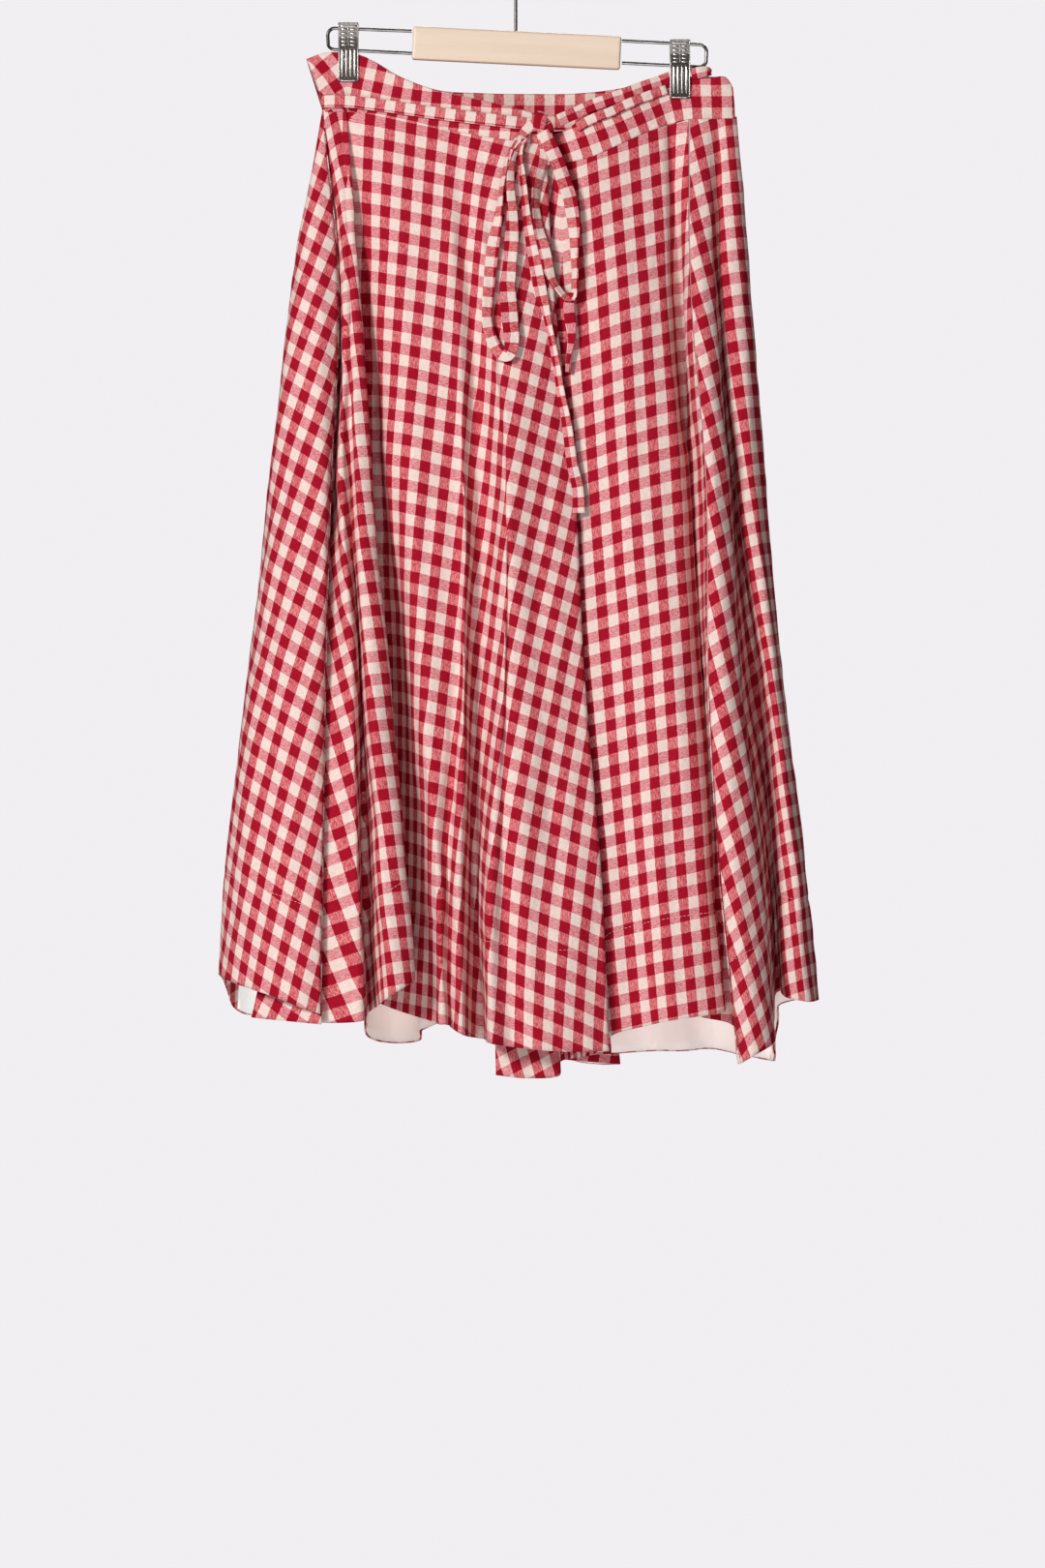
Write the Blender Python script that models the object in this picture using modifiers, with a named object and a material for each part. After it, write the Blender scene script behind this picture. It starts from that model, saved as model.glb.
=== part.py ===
# A calf-length wrap skirt in gingham linen, hanging by its waistband from a wooden bar hanger
# with two wire arms and two clips.
# Metres, +Z up. The origin is under the crown of the hook, where a rail carries it.
# The front of the skirt faces -Y, its left side seen from the front is at -X.

import math

import bpy
from mathutils import Vector

# cloth
WAIST_Z = -0.175          # height of the waist seam under the hook
CLOTH = 0.0012            # wall of the skirt's panels
LINING_CLOTH = 0.0010     # wall of the back lining
LINING_GAP = 0.0013       # between the back panels and the lining
LINING_RISE = 0.0050      # the lining's hem lies this much above the gingham's
SEAM = 0.0006             # gap between neighbouring pieces at a seam
ROWS = 10                 # cells down a panel
STEPS = 2                 # cells between two fold lines
TAPE = 0.0010             # wall of a tie
TIE_WIDTH = 0.0100        # width of a tie
TAIL_SHORT_WIDTH = 0.006  # the short tail is folded along its length
KNOT_SIZE = (0.0160, 0.0110, 0.0200)
KNOT_CENTRE = (0.0270, -0.0247, -0.1850)
KNOT_ROUND = 0.0035

# heights under the waist seam, in mm, at which a fold line has an x and a depth
X_DROPS = (0, 149, 315, 481, 647, 780)
DEPTH_DROPS = (-8, 232, 506, 780)

# A fold line of a panel, in mm: x at each of X_DROPS, depth towards the front at each of DEPTH_DROPS,
# drop of its top and of its hem.
OVER_FRONT = (
    # x                                       depth              top    hem
    ((-165, -151.5, -157.5, -161.5, -163, -164), (2.5, 30, 62, 84), -7.5, 777),      # left side seam
    ((-155, -145, -147, -147, -145, -143.5), (2.8, 34, 66, 84), -7.5, 774),
    ((-150, -140, -141, -131, -126, -124), (2.6, 30, 46, 50), -7.5, 768),
    ((-147, -138, -133.5, -123.5, -111, -105.5), (2.8, 40, 72, 88), -7.5, 753),      # crisp pleat
    ((-144, -133, -121, -106, -90, -81), (2.8, 32, 54, 64), -7.5, 741),
    ((-138, -122, -106, -89, -75, -67), (2.6, 20, 36, 42), -7.0, 777),
    ((-120.5, -104, -89.5, -77, -67, -62), (6.0, 34, 52, 56), -5.8, 778),
    ((-77, -59, -50, -50.5, -58, -55.5), (11.0, 38, 50, 52), 4.0, 780),
    ((-52, -39, -31.5, -35.5, -35, -30), (13.5, 30, 32, 30), 10.8, 791),             # main valley
    ((-37, -25, -10, -10, -21.5, -21), (15.5, 44, 64, 72), 13.3, 794),
    ((-25, -13, -4, 0, 3, 12.5), (16.5, 46, 64, 74), 15.8, 799),
    ((-2.5, 10, 22.5, 26.5, 37.5, 47.5), (17.0, 44, 58, 68), 19.0, 801),
    ((25, 33, 50.5, 59, 73, 79), (16.0, 40, 54, 62), 22.4, 800.5),                   # free wrap edge
)

UNDER_FRONT = (
    ((18, -11, -27.5, -27.5, -21, -18), (8.0, 16, 20, 24), 43.0, 822.5),             # free edge
    ((24, 2, -7, -2.5, 6, 10), (8.5, 18, 26, 30), 42.0, 825),
    ((33, 18, 20, 27, 34, 38), (9.5, 20, 24, 24), 40.7, 811),
    ((40.5, 40.5, 47.5, 54, 60.5, 65.5), (10.5, 22, 30, 32), 38.0, 804),
    ((49, 55.5, 60.5, 65.5, 77, 82), (11.0, 24, 32, 32), 36.0, 788),
    ((60, 74, 80.5, 89, 97, 105.5), (11.0, 34, 44, 44), 33.0, 781),
    ((89, 97, 101.5, 113.5, 122, 130.5), (9.0, 38, 52, 58), 21.0, 775),
    ((113.5, 120.5, 126, 138.5, 148.5, 157), (6.0, 36, 52, 60), 10.0, 771),
    ((127, 132, 141, 152, 161, 170), (4.0, 30, 42, 48), 5.0, 769),
    ((133, 139, 149, 157, 164, 173), (2.5, 10, 28, 38), 3.5, 790),                   # valley
    ((142, 145, 155, 160.5, 169, 179), (4.0, 24, 44, 56), 1.2, 806),
    ((148.5, 149, 161.5, 163, 173, 186), (4.5, 40, 62, 70), -0.8, 811),              # right side seam
)

BACK_LEFT = (
    ((-166, -152.5, -158.5, -162.5, -164.5, -166), (2.5, 32, 64, 86), -7.5, 768),    # left side seam
    ((-166.5, -166, -163, -167, -175, -180), (2.4, 38, 68, 88), -7.5, 764),
    ((-167, -175, -183.5, -195, -204, -208), (2.0, 36, 64, 82), -7.5, 753),
    ((-167.5, -187, -205, -221.5, -237.5, -245), (1.0, 26, 46, 58), -7.5, 742),
    ((-168, -192.5, -211, -232, -249, -257.5), (-1.0, 10, 22, 28), -7.5, 736),
    ((-167.5, -191.5, -209, -230, -246.5, -253), (-3.0, -4, -2, 0), -7.5, 743),
    ((-165, -185, -201.5, -220, -235, -242.5), (-3.6, -18, -26, -30), -7.5, 768),
    ((-150, -162, -168.5, -178.5, -187, -191.5), (-3.0, -24, -34, -34), -8.0, 772),
    ((-140, -147, -150, -155, -158, -159.5), (-2.8, -38, -60, -72), -7.5, 772),
    ((-126, -127, -130, -131, -132, -132), (-4.2, -20, -27, -27), -5.5, 775),
    ((-114.5, -113.5, -112, -110.5, -108, -106), (-7.0, -42, -66, -80), -3.3, 799),
    ((-97, -94, -89, -85, -82, -80.5), (-9.0, -24, -32, -32), -0.8, 786),
    ((-69, -62, -54, -45.5, -39, -35.5), (-15.0, -46, -68, -78), 4.0, 779),
    ((-44, -37.5, -31, -24, -19, -16), (-17.0, -30, -38, -36), 6.6, 787),
    ((-32.5, -27, -20, -13.5, -7.5, -4), (-18.5, -40, -55, -60), 7.2, 794),          # centre back seam
)

BACK_RIGHT = (
    ((-31.5, -26, -19, -12.5, -6.5, -3), (-18.5, -40, -55, -60), 7.2, 794),          # centre back seam
    ((-19, -14, -7.5, -1, 5.5, 9.5), (-20.0, -50, -72, -84), 7.9, 802),
    ((6, 12.5, 22.5, 35, 47.5, 55.5), (-20.0, -42, -66, -80), 8.3, 816),
    ((38, 44, 53, 62, 73, 82), (-20.0, -28, -42, -46), 8.3, 811),
    ((72, 80.5, 90.5, 99, 108.5, 118.5), (-16.0, -40, -54, -58), 6.2, 805),
    ((97, 105.5, 115.5, 125.5, 135.5, 143.5), (-13.0, -26, -34, -34), 3.3, 804),
    ((122, 130.5, 140.5, 152, 163.5, 172), (-5.5, -40, -62, -72), 0.4, 804),
    ((143, 150, 160, 173.5, 187, 196.5), (-3.2, -30, -50, -60), -0.8, 809),
    ((157, 165, 177, 191.5, 208.5, 220), (-3.0, -34, -58, -66), -1.7, 812),
    ((170, 175, 187, 203.5, 220, 228), (-3.0, -12, -22, -26), -1.7, 780),
    ((180.5, 187, 199, 214, 231, 241), (-2.8, -11, -16, -18), -1.7, 760),
    ((190.5, 202, 214, 229.5, 249, 264), (-1.0, 0, 4, 8), -1.7, 758),                # right silhouette
    ((186, 193.5, 205, 221, 239, 251.5), (2.5, 20, 34, 40), -1.7, 759),
    ((175, 176, 188, 206, 221.5, 227), (3.0, 8, 16, 22), -1.5, 770),                 # deep valley
    ((163.5, 170, 180, 190, 207.5, 218), (5.0, 34, 56, 64), -1.2, 793),
    ((156, 159.5, 170, 176, 188.5, 201.5), (5.5, 42, 66, 78), -1.0, 803),
    ((149.9, 150.4, 163, 164.5, 174.5, 187.5), (4.8, 41, 63, 72), -0.8, 811),        # right side seam
)
LEFT_SILHOUETTE = 4       # line of the left back where the skirt turns to its front
RIGHT_SILHOUETTE = 11     # the same for the right back
LINING_FROM = 6           # first line of the left back that carries the lining

# A station of a waistband, in mm: x on the seam, then x, drop and depth of the upper edge.
BAND_OVER = (
    (-164.5, -180, -50.5, 1.4), (-160, -166, -55.5, 1.8), (-151, -156, -56.5, 1.6),
    (-142, -142, -55, 1.6), (-128.5, -130, -52.5, 2.2), (-112, -112, -41.5, 5),
    (-95.5, -98, -34, 8), (-73, -77, -25.5, 11.5), (-44, -47, -17.5, 14.5),
    (-15, -17.5, -11, 17), (10, 10, -4, 17.5), (24.5, 22.5, 1.5, 17),
)
BAND_UNDER = (
    (35, 31, 12.5, 9), (47.5, 44, 11, 9.5), (55.5, 51.5, 5, 10), (72, 66.5, -5, 10.5),
    (91.5, 84.5, -14, 9), (109.5, 101.5, -22.5, 6.5), (129.5, 122, -30, 3), (138.5, 134.5, -33, 1.8),
    (149.5, 148.5, -34, 1.8), (167, 167.5, -34, 3), (181, 179.5, -35.5, 3), (188, 184, -35.5, 1.6),
)
BAND_BACK = (
    (-166.5, -180, -50, -1.6), (-156, -156, -55, -1.6), (-142, -142, -56.5, -1.6),
    (-123, -124, -50, -4), (-98, -98, -35.5, -10), (-69, -69, -25.5, -15), (-27.5, -27.5, -23, -20),
    (14, 14, -22.5, -22), (55.5, 55.5, -23, -20), (89, 89, -26.5, -15), (113.5, 113.5, -31.5, -9),
    (130, 130, -34.5, -1.6), (149.5, 148.5, -35.5, -1.6), (172, 172, -35.5, -2.6), (185, 181, -35.5, -1.6),
)
BAND_ROWS = 2
BAND_FLARE = 1.6          # how late a band's ends lean out on their way up

# A point of a tie's middle line, in mm: x, drop, depth. Depth is that of the tie's face towards its outside.
TIE_OVER = (
    (18, 8, 20.6), (10, 6.5, 20.8), (-15, 3.5, 20.4), (-44, 0, 17.8), (-73, -4, 14.4), (-96, -7.5, 11.6),
    (-112, -9.5, 9.2), (-128, -11, 7.2), (-142, -12.5, 6), (-156, -13, 5.6), (-166, -13, 4.6),
    (-171.6, -13.2, 2.4), (-172.2, -13.4, -0.6), (-170.4, -13.6, -3.6), (-156, -14, -5.4), (-142, -14.2, -5.4),
    (-123, -14, -7.4), (-98, -13, -12.2), (-69, -11, -17.6), (-27.5, -8.5, -22.6), (14, -8, -24.4),
    (55.5, -10, -22.4), (89, -13.5, -17.6), (113.5, -17, -12), (134.5, -19, -6.6), (149.5, -19.5, -6.4),
    (172, -20, -6.6), (184, -20.2, -5.4), (191, -20.4, -2.2), (192.2, -20.6, 1), (187, -20.8, 4.6),
    (179, -21, 6.2), (172, -21.2, 6.2),
)
TIE_UNDER_TOP = (
    (37, 3, 17.5), (50, -3, 14.5), (66.5, -10.5, 13.4), (89, -18.5, 11.7), (110, -26.5, 7.6),
    (124, -31.5, 4.2), (133, -35, 3.6), (143, -37, 3.6), (150, -37.5, 3.8),
)
TIE_UNDER_LOW = (
    (53, 8.5, 14.2), (66, 1.5, 14.6), (80, -4, 14), (96, -11.5, 12), (112, -18, 8.9), (124, -22.5, 6.4),
    (130, -24.5, 5.6),
)
TIE_LOOP = (
    (151, -38, 3.9), (157, -39.5, 5.4), (163, -41, 4.8), (166.8, -41.5, 2.2), (166.8, -41.5, -1.2),
    (163, -41, -3.4), (156, -40.5, -4.2),
)

# A point of a bow's or tail's middle line, in mm: x, drop, lift off the over-wrap panel.
BOW_LEFT = (
    (12, 17, 4.6), (3.5, 25, 4.6), (-5.5, 45.5, 4.2), (-11.5, 66.5, 3.5), (-17.5, 92, 3.5),
    (-20.5, 116, 3.5), (-22.5, 141, 3.5), (-24, 166, 3.6), (-21, 187, 4), (-13.5, 199, 4.4),
    (-5, 196, 5), (-1, 182.5, 5.4), (-1.5, 157.5, 5.6), (-2, 133, 5.8), (-1, 108, 6), (-1, 83, 6.2),
    (2, 58, 6.6), (8, 33, 7), (14, 23, 7.4),
)
BOW_RIGHT = (
    (28, 20.8, 6.6), (30, 30, 7.2), (38, 62, 7.6), (44, 95, 7.4), (48, 128, 6.6), (47.5, 149, 6.2),
    (43, 152, 6), (38, 143, 5.8), (30, 126, 5.4), (23, 103, 5), (19.5, 79, 4.8), (21, 50, 4.6), (24, 28, 4.4),
)
TAIL_LONG = (
    (19, 23, 2.6), (14, 45, 2.4), (9, 72, 2.4), (11.5, 126, 2.4), (19, 162.5, 2.4), (24, 176, 2.4),
    (33, 209, 2.4), (38, 239, 2.4), (44.5, 265, 2.4), (49, 302, 2.4), (53, 320, 2.4), (54, 341, 2.4),
)
TAIL_SHORT = (
    (48, 148, 4.8), (50, 163, 4.2), (49.5, 185, 3), (46.5, 205, 2.4), (45.5, 221, 2.4),
)

# hanger
BAR_SIZE = (0.1795, 0.0110, 0.0285)
BAR_ROUND = 0.0022
BAR_CENTRE = (0.0008, 0.0, -0.1143)
BAR_TILT = math.radians(2.8)
HOOK_RADIUS = 0.0235      # of the wire's middle line
HOOK_WIRE = 0.0014        # radius of the hook's wire
HOOK_TURN = range(-10, 205, 15)
STEM_FOOT_Z = -0.0994
NECK = ((0.0015, -0.0555), (0.0080, -0.0485), (0.0175, -0.0385))
ARM_WIRE = 0.0015         # radius of the arms' wire
ARM_CORNER = 0.006
# x at the bar, x at the tip, then z of the upper wire at the bar and the tip, and of the lower wire
ARM_LEFT = (-0.0894, -0.1619, -0.0996, -0.0971, -0.1187, -0.1154)
ARM_RIGHT = (0.0914, 0.1643, -0.1079, -0.1112, -0.1270, -0.1303)
CLIP_WIDTH = 0.0174
CLIP_PLATE = 0.0009
CLIP_PIN = 0.0033         # radius of a clip's pin
PIN_INSET = 0.002         # the pin is this much shorter than the clip is wide
# x of the middle of a clip and z of its lips
CLIP_LEFT = (-0.1440, -0.1436)
CLIP_RIGHT = (0.1414, -0.1581)
# profile of a jaw from its lower lip up, in mm: height over the lip, distance from the pinched cloth's plane
JAW = ((0, 4.1), (10, 4.1), (21, 4.1), (27, 4.2), (33, 4.7), (38, 5.4), (44, 7.2), (50.5, 9.4))
JAW_FRONT_RIGHT = ((0, 5.3), (10, 5.3), (21, 5.3), (27, 5.3), (33, 5.4), (38, 5.8), (44, 7.4), (50.5, 9.4))
JAW_BACK_RIGHT = ((0, 4.5), (10, 4.5), (21, 4.5), (27, 4.5), (33, 4.7), (38, 5.4), (44, 7.2), (50.5, 9.4))
JAW_HINGE = 4             # point of the profile that is level with the pin
JAW_ROUND = 0.0002
PIN_GAP = 0.0008

COLOURS = {
    "gingham": ((0.55, 0.09, 0.12), 0.85, 0.0),
    "lining": ((0.78, 0.70, 0.66), 0.80, 0.0),
    "wood": ((0.82, 0.63, 0.42), 0.50, 0.0),
    "wire": ((0.62, 0.60, 0.58), 0.30, 1.0),
    "clip": ((0.70, 0.68, 0.66), 0.25, 1.0),
}


def clear_scene():
    for item in list(bpy.data.objects):
        bpy.data.objects.remove(item, do_unlink=True)


def coat(item, look):
    # every sub-part has a material of its own
    colour, roughness, metallic = COLOURS[look]
    material = bpy.data.materials.new(item.name)
    material.use_nodes = True
    shader = material.node_tree.nodes["Principled BSDF"]
    shader.inputs["Base Color"].default_value = (*colour, 1.0)
    shader.inputs["Roughness"].default_value = roughness
    shader.inputs["Metallic"].default_value = metallic
    item.data.materials.clear()
    item.data.materials.append(material)


def add_object(name, data, look):
    item = bpy.data.objects.new(name, data)
    parts.objects.link(item)
    coat(item, look)
    return item


def along(stations, values, at):
    # smooth curve through the stations, straight beyond its two ends
    last = len(stations) - 1
    slopes = []
    for i in range(last + 1):
        a = max(i - 1, 0)
        b = min(i + 1, last)
        slopes.append((values[b] - values[a]) / (stations[b] - stations[a]))
    if at <= stations[0]:
        return values[0] + slopes[0] * (at - stations[0])
    if at >= stations[last]:
        return values[last] + slopes[last] * (at - stations[last])
    i = max(k for k in range(last) if stations[k] <= at)
    span = stations[i + 1] - stations[i]
    t = (at - stations[i]) / span
    h1 = (1 + 2 * t) * (1 - t) ** 2
    h2 = t * (1 - t) ** 2
    h3 = t * t * (3 - 2 * t)
    h4 = t * t * (t - 1)
    return h1 * values[i] + h2 * span * slopes[i] + h3 * values[i + 1] + h4 * span * slopes[i + 1]


def place(x, drop, depth):
    # millimetres on the garment to metres in space
    return Vector((x / 1000, -depth / 1000, WAIST_Z - drop / 1000))


def line_point(line, share):
    xs, depths, top, hem = line
    drop = top + (hem - top) * share
    return place(along(X_DROPS, xs, drop), drop, along(DEPTH_DROPS, depths, drop))


def spline(points, steps):
    # centripetal curve through the points, with a number of steps to each span
    ends = [points[0] * 2 - points[1]] + list(points) + [points[-1] * 2 - points[-2]]
    result = []
    for i in range(1, len(ends) - 2):
        p0, p1, p2, p3 = ends[i - 1:i + 3]
        t1 = max((p1 - p0).length, 1e-6) ** 0.5
        t2 = t1 + max((p2 - p1).length, 1e-6) ** 0.5
        t3 = t2 + max((p3 - p2).length, 1e-6) ** 0.5
        for k in range(steps):
            t = t1 + (t2 - t1) * k / steps
            a1 = p0 * ((t1 - t) / t1) + p1 * (t / t1)
            a2 = p1 * ((t2 - t) / (t2 - t1)) + p2 * ((t - t1) / (t2 - t1))
            a3 = p2 * ((t3 - t) / (t3 - t2)) + p3 * ((t - t2) / (t3 - t2))
            b1 = a1 * ((t2 - t) / t2) + a2 * (t / t2)
            b2 = a2 * ((t3 - t) / (t3 - t1)) + a3 * ((t - t1) / (t3 - t1))
            result.append(b1 * ((t2 - t) / (t2 - t1)) + b2 * ((t - t1) / (t2 - t1)))
    result.append(points[-1].copy())
    return result


def panel_net(lines, rows=ROWS, steps=STEPS):
    return [spline([line_point(line, r / rows) for line in lines], steps) for r in range(rows + 1)]


def sheet(name, net, look, wall, outside):
    # an open surface on a net of points, thickened away from its outside
    columns = len(net[0])
    points = [point for row in net for point in row]
    faces = []
    for r in range(len(net) - 1):
        for c in range(columns - 1):
            a = r * columns + c
            face = (a, a + 1, a + columns + 1, a + columns)
            faces.append(face if outside > 0 else tuple(reversed(face)))
    mesh = bpy.data.meshes.new(name)
    mesh.from_pydata(points, [], faces)
    mesh.update()
    item = add_object(name, mesh, look)
    wall_maker = item.modifiers.new("wall", "SOLIDIFY")
    wall_maker.thickness = wall
    wall_maker.offset = -1
    wall_maker.use_rim = True
    mesh.shade_smooth()
    return item


def moved_in(net, distance):
    # a net of the back, moved off its outside along the surface's normals
    result = []
    for r, row in enumerate(net):
        above = net[max(r - 1, 0)]
        below = net[min(r + 1, len(net) - 1)]
        moved = []
        for c, point in enumerate(row):
            down = (below[c] - above[c]).normalized()
            before = (point - row[max(c - 1, 0)]).normalized()
            after = (row[min(c + 1, len(row) - 1)] - point).normalized()
            normal = down.cross(before + after).normalized()
            moved.append(point + normal * distance)
        result.append(moved)
    return result


def seam_point(edge, x):
    # point of an edge that runs left to right, at a given x
    for a, b in zip(edge, edge[1:]):
        if a.x <= x <= b.x:
            return a.lerp(b, (x - a.x) / max(b.x - a.x, 1e-9))
    return edge[0].copy() if x < edge[0].x else edge[-1].copy()


def band(name, stations, edge, outside):
    low = []
    high = []
    for x, top_x, top_drop, top_depth in stations:
        foot = seam_point(edge, x / 1000)
        low.append(foot + Vector((0.0, 0.0, SEAM)))
        high.append(place(top_x, top_drop, top_depth))
    net = []
    for r in range(BAND_ROWS + 1):
        rise = 1 - r / BAND_ROWS
        row = [foot.lerp(top, rise) for foot, top in zip(low, high)]
        for point, foot, top in zip(row, low, high):
            point.x = foot.x + (top.x - foot.x) * rise ** BAND_FLARE
        net.append(spline(row, STEPS))
    # the lower edge follows the panel's own edge between the stations too
    for point in net[-1]:
        foot = seam_point(edge, point.x)
        point.z = foot.z + SEAM
        point.y = foot.y
    return sheet(name, net, "gingham", CLOTH, outside)


def tape(name, path, outside, width=TIE_WIDTH, upright=False):
    # a flat strip along a path, its width across the path, level with the front or upright
    middle = spline(path, STEPS)
    left = []
    right = []
    for i, point in enumerate(middle):
        way = (middle[min(i + 1, len(middle) - 1)] - middle[max(i - 1, 0)]).normalized()
        if upright:
            side = Vector((0.0, 0.0, 1.0))
            side = (side - way * side.dot(way)).normalized()
        else:
            side = Vector((-way.z, 0.0, way.x)).normalized()
        left.append(point + side * width / 2)
        right.append(point - side * width / 2)
    return sheet(name, [left, right], "gingham", TAPE, outside)


def lifted(path):
    # points that lie on the over-wrap panel, raised by their lift
    result = []
    for x, drop, lift in path:
        points = []
        for line in OVER_FRONT:
            points.append(place(along(X_DROPS, line[0], drop), drop, along(DEPTH_DROPS, line[1], drop)))
        under = seam_point(spline(points, STEPS), x / 1000)
        result.append(Vector((x / 1000, under.y - lift / 1000, under.z)))
    return result


def rod(name, points, radius, look):
    curve = bpy.data.curves.new(name, "CURVE")
    curve.dimensions = "3D"
    curve.bevel_depth = radius
    curve.bevel_resolution = 2
    curve.use_fill_caps = True
    line = curve.splines.new("POLY")
    line.points.add(len(points) - 1)
    for slot, point in zip(line.points, points):
        slot.co = (*point, 1.0)
    return add_object(name, curve, look)


def make_cloth():
    over = panel_net(OVER_FRONT)
    under = panel_net(UNDER_FRONT)
    left = panel_net(BACK_LEFT)
    right = panel_net(BACK_RIGHT)
    sheet("panel_over_front", over, "gingham", CLOTH, -1)
    sheet("panel_under_front", under, "gingham", CLOTH, -1)
    sheet("panel_back_left", left, "gingham", CLOTH, 1)
    sheet("panel_back_right", right, "gingham", CLOTH, 1)

    # the lining follows the back panels on their inside, from one silhouette to the other
    raised = []
    for line in BACK_LEFT[LINING_FROM:] + BACK_RIGHT[1:RIGHT_SILHOUETTE]:
        xs, depths, top, hem = line
        raised.append((xs, depths, top, hem - LINING_RISE * 1000))
    lining = moved_in(panel_net(raised), CLOTH + LINING_GAP)
    sheet("lining_back", lining, "lining", LINING_CLOTH, 1)

    # waistbands, sewn to the upper edges of the panels
    band("band_over", BAND_OVER, over[0], -1)
    turn = RIGHT_SILHOUETTE * STEPS
    right_front = list(reversed(right[0][turn:]))
    band("band_under", BAND_UNDER, under[0] + right_front, -1)
    band("band_back", BAND_BACK, left[0][LEFT_SILHOUETTE * STEPS:] + right[0][:turn + 1], 1)


def make_ties():
    tape("tie_over", [place(*point) for point in TIE_OVER], 1, upright=True)
    tape("tie_under_top", [place(*point) for point in TIE_UNDER_TOP], -1, upright=True)
    tape("tie_under_low", [place(*point) for point in TIE_UNDER_LOW], -1, upright=True)
    tape("tie_loop", [place(*point) for point in TIE_LOOP], -1, upright=True)
    tape("bow_left", lifted(BOW_LEFT), -1)
    tape("bow_right", lifted(BOW_RIGHT), -1)
    tape("tail_long", lifted(TAIL_LONG), -1)
    tape("tail_short", lifted(TAIL_SHORT), -1, width=TAIL_SHORT_WIDTH)

    # the knot is a small rounded pad in front of the end of the over-wrap's band
    rounded_box("knot", KNOT_SIZE, KNOT_CENTRE, KNOT_ROUND, "gingham")


def adopt(item, look):
    # move an object that an operator made into the collection of the parts
    for home in list(item.users_collection):
        home.objects.unlink(item)
    parts.objects.link(item)
    coat(item, look)
    item.data.shade_smooth()


def rounded_box(name, size, centre, edge, look, tilt=0.0):
    bpy.ops.mesh.primitive_cube_add(size=1.0, location=centre, rotation=(0.0, tilt, 0.0))
    box = bpy.context.active_object
    box.name = name
    box.data.name = name
    for vertex in box.data.vertices:
        vertex.co = [side * length for side, length in zip(vertex.co, size)]
    rounding = box.modifiers.new("rounding", "BEVEL")
    rounding.width = edge
    rounding.segments = 3
    adopt(box, look)


def make_hook():
    # a straight stem, a neck that swings out to one side, and a round crown
    stem = [Vector((0, 0, STEM_FOOT_Z)), Vector((0, 0, -0.060))]
    neck = [Vector((x, 0, z)) for x, z in NECK]
    crown = []
    centre = HOOK_WIRE - HOOK_RADIUS
    for degrees in HOOK_TURN:
        turn = math.radians(degrees)
        crown.append(Vector((HOOK_RADIUS * math.cos(turn), 0, centre + HOOK_RADIUS * math.sin(turn))))
    rod("hanger_hook", stem + spline(neck + crown, STEPS), HOOK_WIRE, "wire")


def make_arm(name, values):
    # a loop of wire that leaves the end of the bar and comes back to it
    foot, tip, high_foot, high_tip, low_foot, low_tip = values
    side = 1 if tip > foot else -1
    corner = ARM_CORNER * side
    points = [Vector((foot, 0, high_foot)), Vector((tip - corner, 0, high_tip))]
    turns = ((high_tip - ARM_CORNER, 90, 0), (low_tip + ARM_CORNER, 0, -90))
    for z, start, stop in turns:
        for k in range(1, 5):
            turn = math.radians(start + (stop - start) * k / 4)
            x = tip - corner + corner * math.cos(turn)
            points.append(Vector((x, 0, z + ARM_CORNER * math.sin(turn))))
    points.append(Vector((foot, 0, low_foot)))
    rod(name, points, ARM_WIRE, "wire")


def make_jaw(name, place_of, profile, front):
    # a bent plate as wide as the clip
    middle, lip = place_of
    sign = -1 if front else 1
    net = []
    for height, distance in reversed(profile):
        z = lip + height / 1000
        y = sign * distance / 1000
        net.append([Vector((middle + CLIP_WIDTH * side / 2, y, z)) for side in (-1, 1)])
    jaw = sheet(name, net, "clip", CLIP_PLATE, sign)
    rounding = jaw.modifiers.new("rounding", "BEVEL")
    rounding.width = JAW_ROUND
    rounding.segments = 1
    rounding.limit_method = "ANGLE"
    rounding.angle_limit = math.radians(60)


def make_clip(side, place_of, front_profile, back_profile, arm):
    # two jaws with a pin between them, which rests on the lower wire of the arm
    make_jaw("clip_" + side + "_front", place_of, front_profile, True)
    make_jaw("clip_" + side + "_back", place_of, back_profile, False)
    middle, lip = place_of
    lean = (front_profile[JAW_HINGE][1] - back_profile[JAW_HINGE][1]) / 2000
    foot, tip, low_foot, low_tip = arm[0], arm[1], arm[4], arm[5]
    wire_z = low_foot + (low_tip - low_foot) * (middle - foot) / (tip - foot)
    pin_z = wire_z + ARM_WIRE + PIN_GAP + CLIP_PIN + lean
    bpy.ops.mesh.primitive_cylinder_add(vertices=20, radius=CLIP_PIN + lean, depth=CLIP_WIDTH - PIN_INSET,
                                        location=(middle, -lean, pin_z),
                                        rotation=(0.0, math.pi / 2, 0.0))
    pin = bpy.context.active_object
    pin.name = "clip_" + side + "_pin"
    pin.data.name = pin.name
    adopt(pin, "clip")


def make_hanger():
    rounded_box("hanger_bar", BAR_SIZE, BAR_CENTRE, BAR_ROUND, "wood", BAR_TILT)
    make_hook()
    make_arm("wire_left", ARM_LEFT)
    make_arm("wire_right", ARM_RIGHT)
    make_clip("left", CLIP_LEFT, JAW, JAW, ARM_LEFT)
    make_clip("right", CLIP_RIGHT, JAW_FRONT_RIGHT, JAW_BACK_RIGHT, ARM_RIGHT)


clear_scene()
parts = bpy.data.collections.new("wrap_skirt")
bpy.context.scene.collection.children.link(parts)
make_cloth()
make_ties()
make_hanger()
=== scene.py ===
# A calf-length gingham wrap skirt that hangs by its waistband from a wooden bar hanger.
# Metres, +Z up, the front faces -Y. The cloth's tables are in millimetres on the garment:
# x to the right seen from the front, drop under the waist seam, depth towards the front.

import math

import bpy
import numpy as np
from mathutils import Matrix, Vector
from mathutils.bvhtree import BVHTree


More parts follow.
